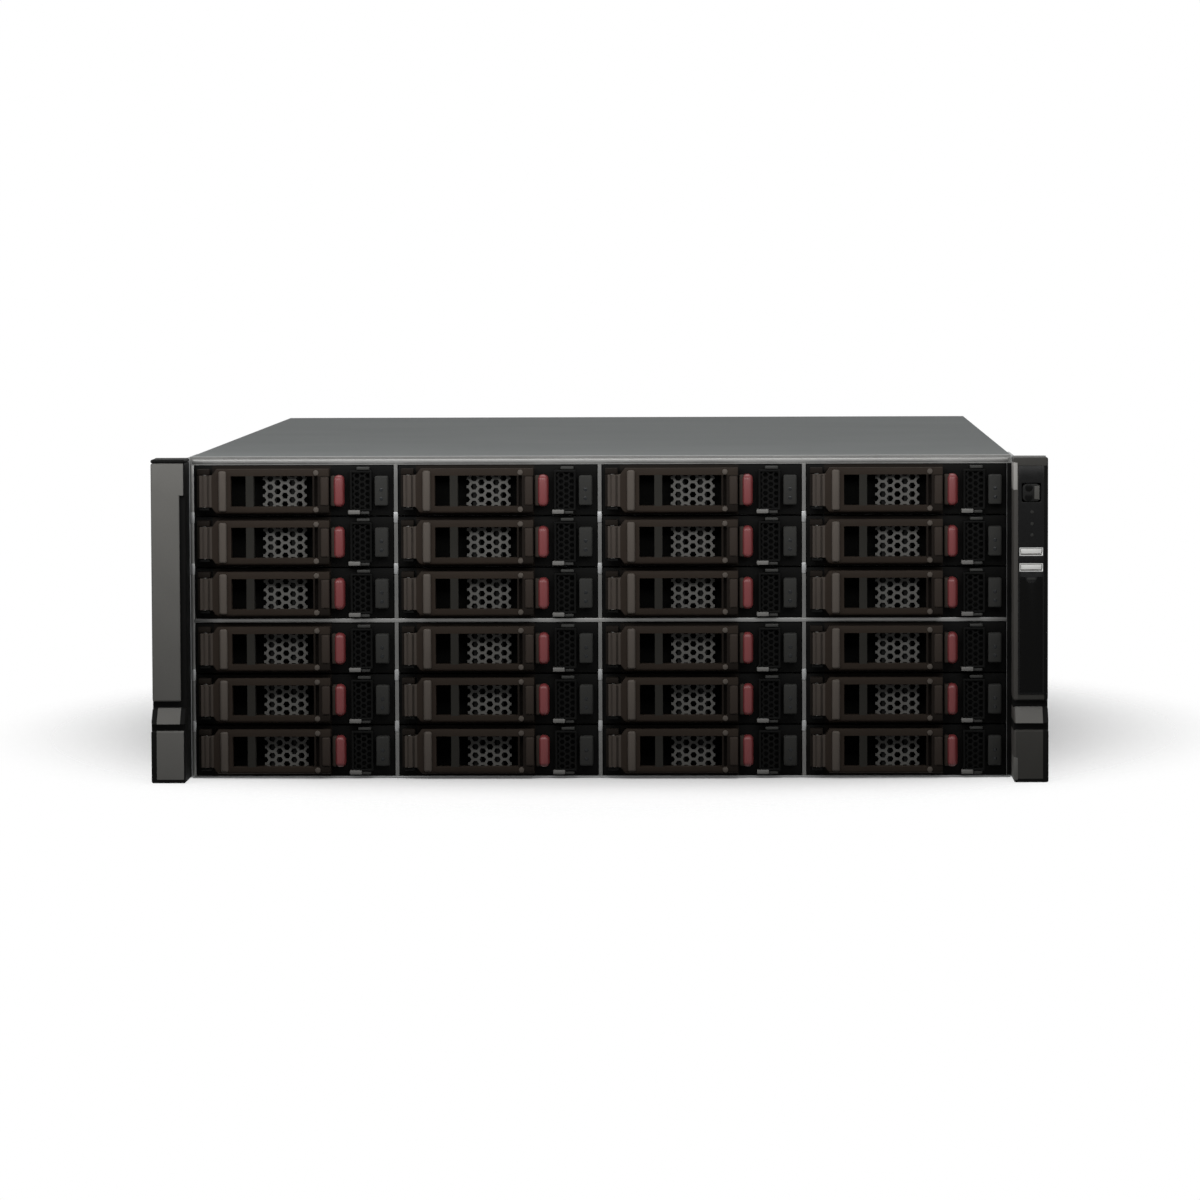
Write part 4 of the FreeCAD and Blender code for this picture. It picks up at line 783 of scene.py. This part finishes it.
# Top cover. Sheet steel with a grey powder coat, which dries to a fine orange peel. Three thumb
# screws in its rear lip hold it to the chassis.
cover_grey = Finish("cover_grey", Specular_IOR_Level=0.05)
peel = cover_grey.noise(0.9, detail=3)
spread = cover_grey.noise(90)
coat = cover_grey.blend(spread * 0.7 + peel * 0.3, rgb(108, 111, 111), rgb(122, 125, 124))
cover_grey.set(Base_Color=coat, Roughness=0.6 + peel * 0.18, Normal=cover_grey.bump(peel, 0.03))
dress(cover_grey, "top_cover")
cover_high = box_of("top_cover")[1]
KNOBS_X, KNOB_DROP, KNOB_R, KNOB_LENGTH, KNOB_RIBS = (-170, 0, 170), 9, 5, 9, 20
knobs = bmesh.new()
for x in KNOBS_X:
    middle = Vector((x, cover_high.y, cover_high.z - KNOB_DROP))
    peg(knobs, middle, "+y", KNOB_R * 0.7, 2.2)
    peg(knobs, middle + Vector((0, 2, 0)), "+y", KNOB_R, KNOB_LENGTH, 0.6, 40)
    for i in range(KNOB_RIBS):
        turn = 2 * math.pi * i / KNOB_RIBS
        at = middle + Vector((math.cos(turn) * KNOB_R, 3, math.sin(turn) * KNOB_R))
        peg(knobs, at, "+y", 0.4, KNOB_LENGTH - 2, 0, 6)
piece("cover_thumb_screws", knobs, [screw_nickel], "cover")


# Rack ears. Steel angles screwed to the chassis sides, with two rack holes each, under moulded
# covers: a tall flat face over a slanted step and a pull handle. Deep grooves part the three. The
# grooves' floors and the handle's sole and outer edge are painted black as painted shade, as are the
# left cover's rebate, inner side and top cap.
ear_satin = moulded("ear_satin", rgb(96, 95, 92), rgb(108, 107, 104), 0.46, 0.7, 0.02, 0.1)
ear_dark = moulded("ear_dark", rgb(53, 52, 50), rgb(66, 65, 62), 0.42, 0.7, 0.02, 0.08)
COVER, BRACKET, STEP, SHADE_BLACK, LIT_STRIP = range(5)
EAR_INNER, EAR_OUTER, COVER_INNER = 222.4, 241.3, 222.8
EAR_Z = (0.4, 174.6)
FACE, NOSE = front_y - 25, front_y - 32.9
HANDLE_Z, HANDLE_TOP, GROOVE, GROOVE_DEPTH = 30.35, 40.4, 3.5, 3
REBATE, REBATE_DEPTH, REBATE_TOP, CAP, SOLE, EDGE, RIM = 3, 3, 155.3, 2, 2, 3, 0.9
HOLE_R, HOLE_X, HOLE_Z = 3.4, 232.55, (36.7, 138.3)
BRACKET_THICK, BRACKET_DEEP, BRACKET_SCREWS = 2, 55, (25, 87, 150)


def drawn_out(corners, run, loose=()):
    """Solid drawn out from a flat outline, its edges rounded off except in loose planes of z."""
    solid = bmesh.new()
    side = solid.faces.new([solid.verts.new(corner) for corner in corners])
    push(solid, [side], run)
    face_out(solid)
    edges = [e for e in solid.edges if e.calc_face_angle_signed() > 0.3
             and not any(all(near(v.co.z, z) for v in e.verts) for z in loose)]
    bevel(solid, edges, 1, 3)
    return solid


def part_off(solid, point, way, finish):
    """Cuts a solid's faces along a plane and paints what lies beyond it."""
    cut(solid, point, way)
    point, way = Vector(point), Vector(way)
    paint([f for f in solid.faces if (f.calc_center_median() - point).dot(way) > 0], finish)


def ear_foot(inner_side, step_band):
    """Right ear's pull handle and slanted step, over the floors of the two grooves, painted black as
    painted shade.
    """
    low, high, foot = HANDLE_Z - GROOVE / 2, HANDLE_Z + GROOVE / 2, HANDLE_TOP + GROOVE
    whole = bmesh.new()
    for y, z in ((NOSE, (low - 2, high + 2)), (FACE, (HANDLE_TOP - 3, foot + 1))):
        block(whole, (COVER_INNER + 0.1, y + GROOVE_DEPTH, z[0]), (EAR_OUTER - 0.05, front_y, z[1]),
              0, 1, SHADE_BLACK)
    handle = ((front_y, EAR_Z[0]), (NOSE, EAR_Z[0]), (NOSE, low), (front_y, low))
    step = ((front_y, high), (NOSE, high), (FACE, HANDLE_TOP), (front_y, HANDLE_TOP))
    for side, finish, band in ((handle, COVER, RIM), (step, STEP, step_band)):
        solid = drawn_out([(COVER_INNER, y, z) for y, z in side], (EAR_OUTER - COVER_INNER, 0, 0))
        paint(solid.faces, finish)
        # The outer edge and the sole are painted black as painted shade. The inner side takes
        # inner_side: painted shade on the left ear, painted light on the right.
        part_off(solid, (EAR_OUTER - EDGE, 0, 0), (1, 0, 0), SHADE_BLACK)
        part_off(solid, (0, 0, EAR_Z[0] + SOLE), (0, 0, -1), SHADE_BLACK)
        part_off(solid, (COVER_INNER + band, 0, 0), (-1, 0, 0), inner_side)
        join(whole, solid)
    return whole


def runs_deep(edge):
    """Whether an edge of a plate runs along the depth."""
    return abs(edge.verts[0].co.y - edge.verts[1].co.y) > 0.5


def ear_bracket():
    """Right ear's angle, its rack holes first cut square and then rounded."""
    xs = (EAR_INNER, HOLE_X - HOLE_R, HOLE_X + HOLE_R, EAR_OUTER)
    zs = (EAR_Z[0], *[z + d for z in HOLE_Z for d in (-HOLE_R, HOLE_R)], EAR_Z[1])
    flange = plate(xs, zs, front_y, front_y + BRACKET_THICK,
                   lambda a, b: not (abs(a - HOLE_X) < HOLE_R
                                     and min(abs(b - z) for z in HOLE_Z) < HOLE_R))
    corners = [e for e in flange.edges if runs_deep(e)
               and near(abs(e.verts[0].co.x - HOLE_X), HOLE_R)
               and any(near(abs(e.verts[0].co.z - z), HOLE_R) for z in HOLE_Z)]
    bevel(flange, corners, HOLE_R * 0.98, 6)
    block(flange, (EAR_INNER, front_y + 1.5, EAR_Z[0]),
          (EAR_INNER + BRACKET_THICK, front_y + BRACKET_DEEP, EAR_Z[1]), 0.3)
    for z in BRACKET_SCREWS:
        screw(flange, (EAR_INNER + BRACKET_THICK, front_y + 40, z), "+x", 3)
    return flange


def to_left(bm):
    """Mirror image for the other side of the chassis."""
    bmesh.ops.scale(bm, verts=bm.verts[:], vec=(-1, 1, 1))
    bmesh.ops.reverse_faces(bm, faces=bm.faces[:])
    return bm


ear_section = [(COVER_INNER, front_y), (EAR_OUTER, front_y), (EAR_OUTER, FACE), (COVER_INNER, FACE)]
face_foot, rebate_x, rebate_y = HANDLE_TOP + GROOVE, COVER_INNER + REBATE, FACE + REBATE_DEPTH
rebated = ear_section[:3] + [(rebate_x, FACE), (rebate_x, rebate_y), (COVER_INNER, rebate_y)]
left_ear = ear_foot(SHADE_BLACK, REBATE)
face = drawn_out([(x, y, face_foot) for x, y in rebated], (0, 0, REBATE_TOP - face_foot),
                 [REBATE_TOP])
# Rebate and inner side painted black: painted shade.
paint([f for f in face.faces if f.calc_center_median().x < rebate_x + 0.1], SHADE_BLACK)
join(left_ear, face)
head = drawn_out([(x, y, REBATE_TOP) for x, y in ear_section], (0, 0, EAR_Z[1] - CAP - REBATE_TOP),
                 [REBATE_TOP])
# Inner side of the head and the top cap painted black: painted shade.
part_off(head, (COVER_INNER + RIM, 0, 0), (-1, 0, 0), SHADE_BLACK)
join(left_ear, head)
block(left_ear, (COVER_INNER, FACE, EAR_Z[1] - CAP), (EAR_OUTER, front_y, EAR_Z[1]), 0.9, 3, SHADE_BLACK)
join(left_ear, ear_bracket(), finish=BRACKET)
piece("left_ear_full", to_left(left_ear), [ear_satin, chassis_zinc, ear_satin, carrier_black],
      "chassis", ["left_ear"])


# Right ear with its control panel. A gloss black plate in the cover's face holds the power button,
# three grey lamps, two bright ports and a service flap with a finger notch.
panel_gloss = moulded("panel_gloss", rgb(14, 14, 14), rgb(20, 20, 20), 0.2, 2, 0.002, 0.09)
flap_gloss = moulded("flap_gloss", rgb(5, 5, 5), rgb(9, 9, 8), 0.2, 2, 0.002, 0.05)
port_white = moulded("port_white", rgb(214, 214, 211), rgb(234, 234, 231), 0.4, 0.6)
lit_block_pale = moulded("lit_block_pale", rgb(150, 148, 145), rgb(168, 166, 162), 0.42, 0.7, 0.02, 0.08)
lit_strip_grey = moulded("lit_strip_grey", rgb(66, 64, 62), rgb(80, 78, 75), 0.42, 0.7, 0.02, 0.08)
PANEL, FLAP, SHELL, TONGUE, LENS, LIT_PALE = range(5, 11)
PANEL_X, PANEL_Z = (225.2, 239.3), (47.2, 170.2)
PANEL_FRONT, PANEL_BACK = front_y - 25.6, front_y - 22
PORTS_X, PORTS_Z, PORT_HALF, SHELL_WALL, SHELL_DEEP = (225.85, 238.65), (124, 115.5), 2.3, 0.6, 13
POWER_X, POWER_Z, POWER_HALF = 232.25, 155.8, 4.8
BORE = POWER_HALF + 0.3
LENSES_Z, FLAP_X, FLAP_Z, NOTCH_R = (145.3, 139, 133), (226.2, 238.3), (48.2, 110.6), 3.2


def in_bore(a, b):
    return abs(a - POWER_X) < BORE and abs(b - POWER_Z) < BORE


# On this ear the slanted step and the cover's inner side are painted in lighter greys than the
# cover, where light falls on them: painted light.
right_ear = ear_foot(LIT_STRIP, RIM)
face = plate((COVER_INNER, POWER_X - BORE, POWER_X + BORE, EAR_OUTER),
             (face_foot, POWER_Z - BORE, POWER_Z + BORE, EAR_Z[1]), FACE, front_y,
             lambda a, b: not in_bore(a, b))
round_edges(face, 1, 3)
# The face's outer strip is painted black as painted shade, and its inner strip is a lighter grey as
# painted light.
part_off(face, (PANEL_X[1], 0, 0), (1, 0, 0), SHADE_BLACK)
part_off(face, (PANEL_X[0], 0, 0), (-1, 0, 0), LIT_STRIP)
part_off(face, (0, 0, PANEL_Z[1]), (0, 0, 1), COVER)
join(right_ear, face)
join(right_ear, ear_bracket(), finish=BRACKET)
# Pale blocks low and high on the cover's inner side: painted light.
for y, z, finish in ((NOSE, (1.5, 14), STEP), (FACE, (157, 172), LIT_PALE)):
    block(right_ear, (COVER_INNER - 0.12, y - 0.1, z[0]), (PANEL_X[0] - 0.1, y + 22, z[1]),
          0.5, 2, finish)
# Black strip over the chassis' right front edge, in the ear's shadow: painted shade.
block(right_ear, (base_high.x - 2, front_y - 0.7, STRIP_END),
      (COVER_INNER + 0.2, front_y - 0.05, CAGE_TOP), 0.2, 1, SHADE_BLACK)
ports_z = [(z - PORT_HALF, z + PORT_HALF) for z in PORTS_Z]
panel = plate((PANEL_X[0], PORTS_X[0], POWER_X - BORE, POWER_X + BORE, PORTS_X[1], PANEL_X[1]),
              sorted({*PANEL_Z, POWER_Z - BORE, POWER_Z + BORE, *sum(ports_z, ())}),
              PANEL_FRONT, PANEL_BACK,
              lambda a, b: not (in_bore(a, b) or within(a, PORTS_X) and within(b, *ports_z)))
round_edges(panel, 0.25)
join(right_ear, panel, finish=PANEL)
for port_z in ports_z:
    shell = tube(PORTS_X, port_z, SHELL_WALL, PANEL_FRONT, PANEL_FRONT + SHELL_DEEP)
    round_edges(shell, 0.15, 1)
    join(right_ear, shell, finish=SHELL)
    block(right_ear, (PORTS_X[0] + 0.9, PANEL_FRONT + 0.3, port_z[0] + 1.2),
          (PORTS_X[1] - 0.9, PANEL_FRONT + SHELL_DEEP - 1, port_z[1] - 0.8), 0.2, 2, TONGUE)
for z in LENSES_Z:
    peg(right_ear, (POWER_X + 0.4, PANEL_FRONT + 0.1, z), "-y", 0.9, 0.3, 0.2, 16, LENS)
notch_z = FLAP_Z[1] - NOTCH_R
flap = plate((FLAP_X[0], POWER_X - NOTCH_R, POWER_X + NOTCH_R, FLAP_X[1]),
             (FLAP_Z[0], notch_z, FLAP_Z[1]), PANEL_FRONT - 0.8, PANEL_FRONT + 0.2,
             lambda a, b: not (abs(a - POWER_X) < NOTCH_R and b > notch_z))
corners = [e for e in flap.edges if runs_deep(e) and near(e.verts[0].co.z, notch_z)
           and near(abs(e.verts[0].co.x - POWER_X), NOTCH_R)]
bevel(flap, corners, NOTCH_R * 0.98, 6)
round_edges(flap, 0.2)
join(right_ear, flap, finish=FLAP)
# Grey block in the top of the finger notch: painted highlight.
block(right_ear, (POWER_X - 2.2, PANEL_FRONT - 0.4, FLAP_Z[1] - 1.9),
      (POWER_X + 2.2, PANEL_FRONT + 0.2, FLAP_Z[1] - 0.5), 0.3, 2, LENS)
piece("right_ear_full", right_ear,
      [ear_dark, chassis_zinc, ear_satin, carrier_black, lit_strip_grey, panel_gloss, flap_gloss,
       port_steel, port_white, lamp_grey, lit_block_pale],
      "chassis", ["right_ear"])


# Power button. A square dark cap without its corners, on a stem behind the panel. Two black discs on
# its face stand for the shade in two finger dimples, as painted shade, and a pale half-moon on its
# face is a painted highlight.
button_grey = moulded("button_grey", rgb(16, 16, 15), rgb(22, 22, 21), 0.3, 0.6, 0.01, 0.09)
button_highlight_pale = moulded("button_highlight_pale", rgb(70, 69, 66), rgb(84, 83, 80), 0.3, 0.6, 0.01, 0.12)
STEM, DIMPLE_SHADE, MOON_HIGHLIGHT = range(3)
power = bmesh.new()
block(power, (POWER_X - POWER_HALF, PANEL_FRONT - 1, POWER_Z - POWER_HALF),
      (POWER_X + POWER_HALF, PANEL_FRONT + 5, POWER_Z + POWER_HALF), 0, 1, STEM)
bevel(power, [e for e in power.edges if runs_deep(e)], 2.4, 4)
bevel(power, [e for e in power.edges if max(v.co.y for v in e.verts) < PANEL_FRONT], 0.6, 3)
# Black discs: painted shade.
for dz in (-2.5, 2.5):
    shade_disc = (POWER_X - 1.4, PANEL_FRONT - 0.9, POWER_Z + dz)
    peg(power, shade_disc, "-y", 2.1, 0.16, 0.05, 24, DIMPLE_SHADE)
# Pale half-moon: painted highlight.
block(power, (POWER_X + 1.3, PANEL_FRONT - 1.05, POWER_Z - 3.9),
      (POWER_X + 4.5, PANEL_FRONT, POWER_Z + 3.9), 1.4, 4, MOON_HIGHLIGHT)
piece("power_button_full", power, [button_grey, flap_gloss, button_highlight_pale], "power_button",
      ["power_button"])


# Studio. A pale paper floor that keeps the shadow and fades into a white surround, with soft light
# from above and from above the front.
floor_paper = Finish("floor_paper", Roughness=0.9, Specular_IOR_Level=0.1, Emission_Strength=1.0)
WHITE_RAYS = ("Is Glossy Ray", "Is Transmission Ray")
FADE_FROM, FADE_TO, FLOOR_R, DIM = 0.34, 0.56, 1.2, 0.07


def grey(value):
    return (value, value, value, 1)


in_view = floor_paper.node("ShaderNodeLightPath", output="Is Camera Ray")
for kind in WHITE_RAYS:
    in_view = in_view.maths("MAXIMUM", floor_paper.node("ShaderNodeLightPath", output=kind))
paper = floor_paper.blend(floor_paper.noise(3), grey(0.93), grey(0.96))
floor_paper.set(Base_Color=floor_paper.blend(in_view, grey(0.1), paper))
floor_paper.set(Emission_Color=floor_paper.blend(in_view, grey(0), grey(0.12)))
oval = floor_paper.node("ShaderNodeVectorMath", {"operation": "MULTIPLY"},
                        {0: floor_paper.place, 1: (1.45, 1, 1)})
reach = floor_paper.node("ShaderNodeVectorMath", {"operation": "LENGTH"}, {0: oval}, "Value")
sockets = {"Value": reach, "From Min": FADE_FROM, "From Max": FADE_TO, "To Min": 1, "To Max": 0}
fade = floor_paper.node("ShaderNodeMapRange", {"interpolation_type": "SMOOTHSTEP"}, sockets)
floor_paper.set(Alpha=fade)
ground = bmesh.new()
bmesh.ops.create_circle(ground, cap_ends=True, segments=96, radius=FLOOR_R)
floor_mesh = bpy.data.meshes.new("floor")
ground.to_mesh(floor_mesh)
floor_mesh.materials.append(floor_paper.material)
floor = bpy.data.objects.new("floor", floor_mesh)
bpy.context.scene.collection.objects.link(floor)

world = bpy.data.worlds.new("surround")
bpy.context.scene.world = world
world.use_nodes = True
sky = world.node_tree
path = sky.nodes.new("ShaderNodeLightPath")
seen = path.outputs["Is Camera Ray"]
for kind in WHITE_RAYS:
    either = sky.nodes.new("ShaderNodeMath")
    either.operation = "MAXIMUM"
    sky.links.new(seen, either.inputs[0])
    sky.links.new(path.outputs[kind], either.inputs[1])
    seen = either.outputs[0]
strength = sky.nodes.new("ShaderNodeMapRange")
strength.inputs["To Min"].default_value = DIM
sky.links.new(seen, strength.inputs["Value"])
sky.nodes["Background"].inputs["Color"].default_value = grey(1)
sky.links.new(strength.outputs[0], sky.nodes["Background"].inputs["Strength"])


def lamp(name, place, target, size, power):
    """Soft box of a width and a depth that points at a target."""
    data = bpy.data.lights.new(name, "AREA")
    data.shape, data.energy = "RECTANGLE", power
    data.size, data.size_y = size
    made = bpy.data.objects.new(name, data)
    made.location = place
    made.rotation_euler = (Vector(target) - Vector(place)).to_track_quat("-Z", "Y").to_euler()
    bpy.context.scene.collection.objects.link(made)


FRONT_M = front_y * MM
lamp("front", (-0.06, FRONT_M - 0.22, 0.26), (-0.04, FRONT_M, 0.14), (0.9, 0.08), 1.25)
lamp("top", (0.1, 0.2, 2.0), (0, 0, 0.1), (1.6, 1.4), 17)

LOOK_DOWN, LOOK_LEFT, ROLL = math.radians(3.727), math.radians(1.546), math.radians(-0.22)
camera_data = bpy.data.cameras.new("camera")
camera = bpy.data.objects.new("camera", camera_data)
bpy.context.scene.collection.objects.link(camera)
bpy.context.scene.camera = camera
camera_data.sensor_width, camera_data.lens, camera_data.clip_end = 36, 165.15, 60
camera.location = (0.0804, FRONT_M - 2.9796, 0.291)
level_view = Euler((QUARTER - LOOK_DOWN, 0, LOOK_LEFT)).to_matrix()
camera.rotation_euler = (level_view @ Matrix.Rotation(ROLL, 3, "Z")).to_euler()
bpy.context.scene.view_settings.view_transform = "Standard"
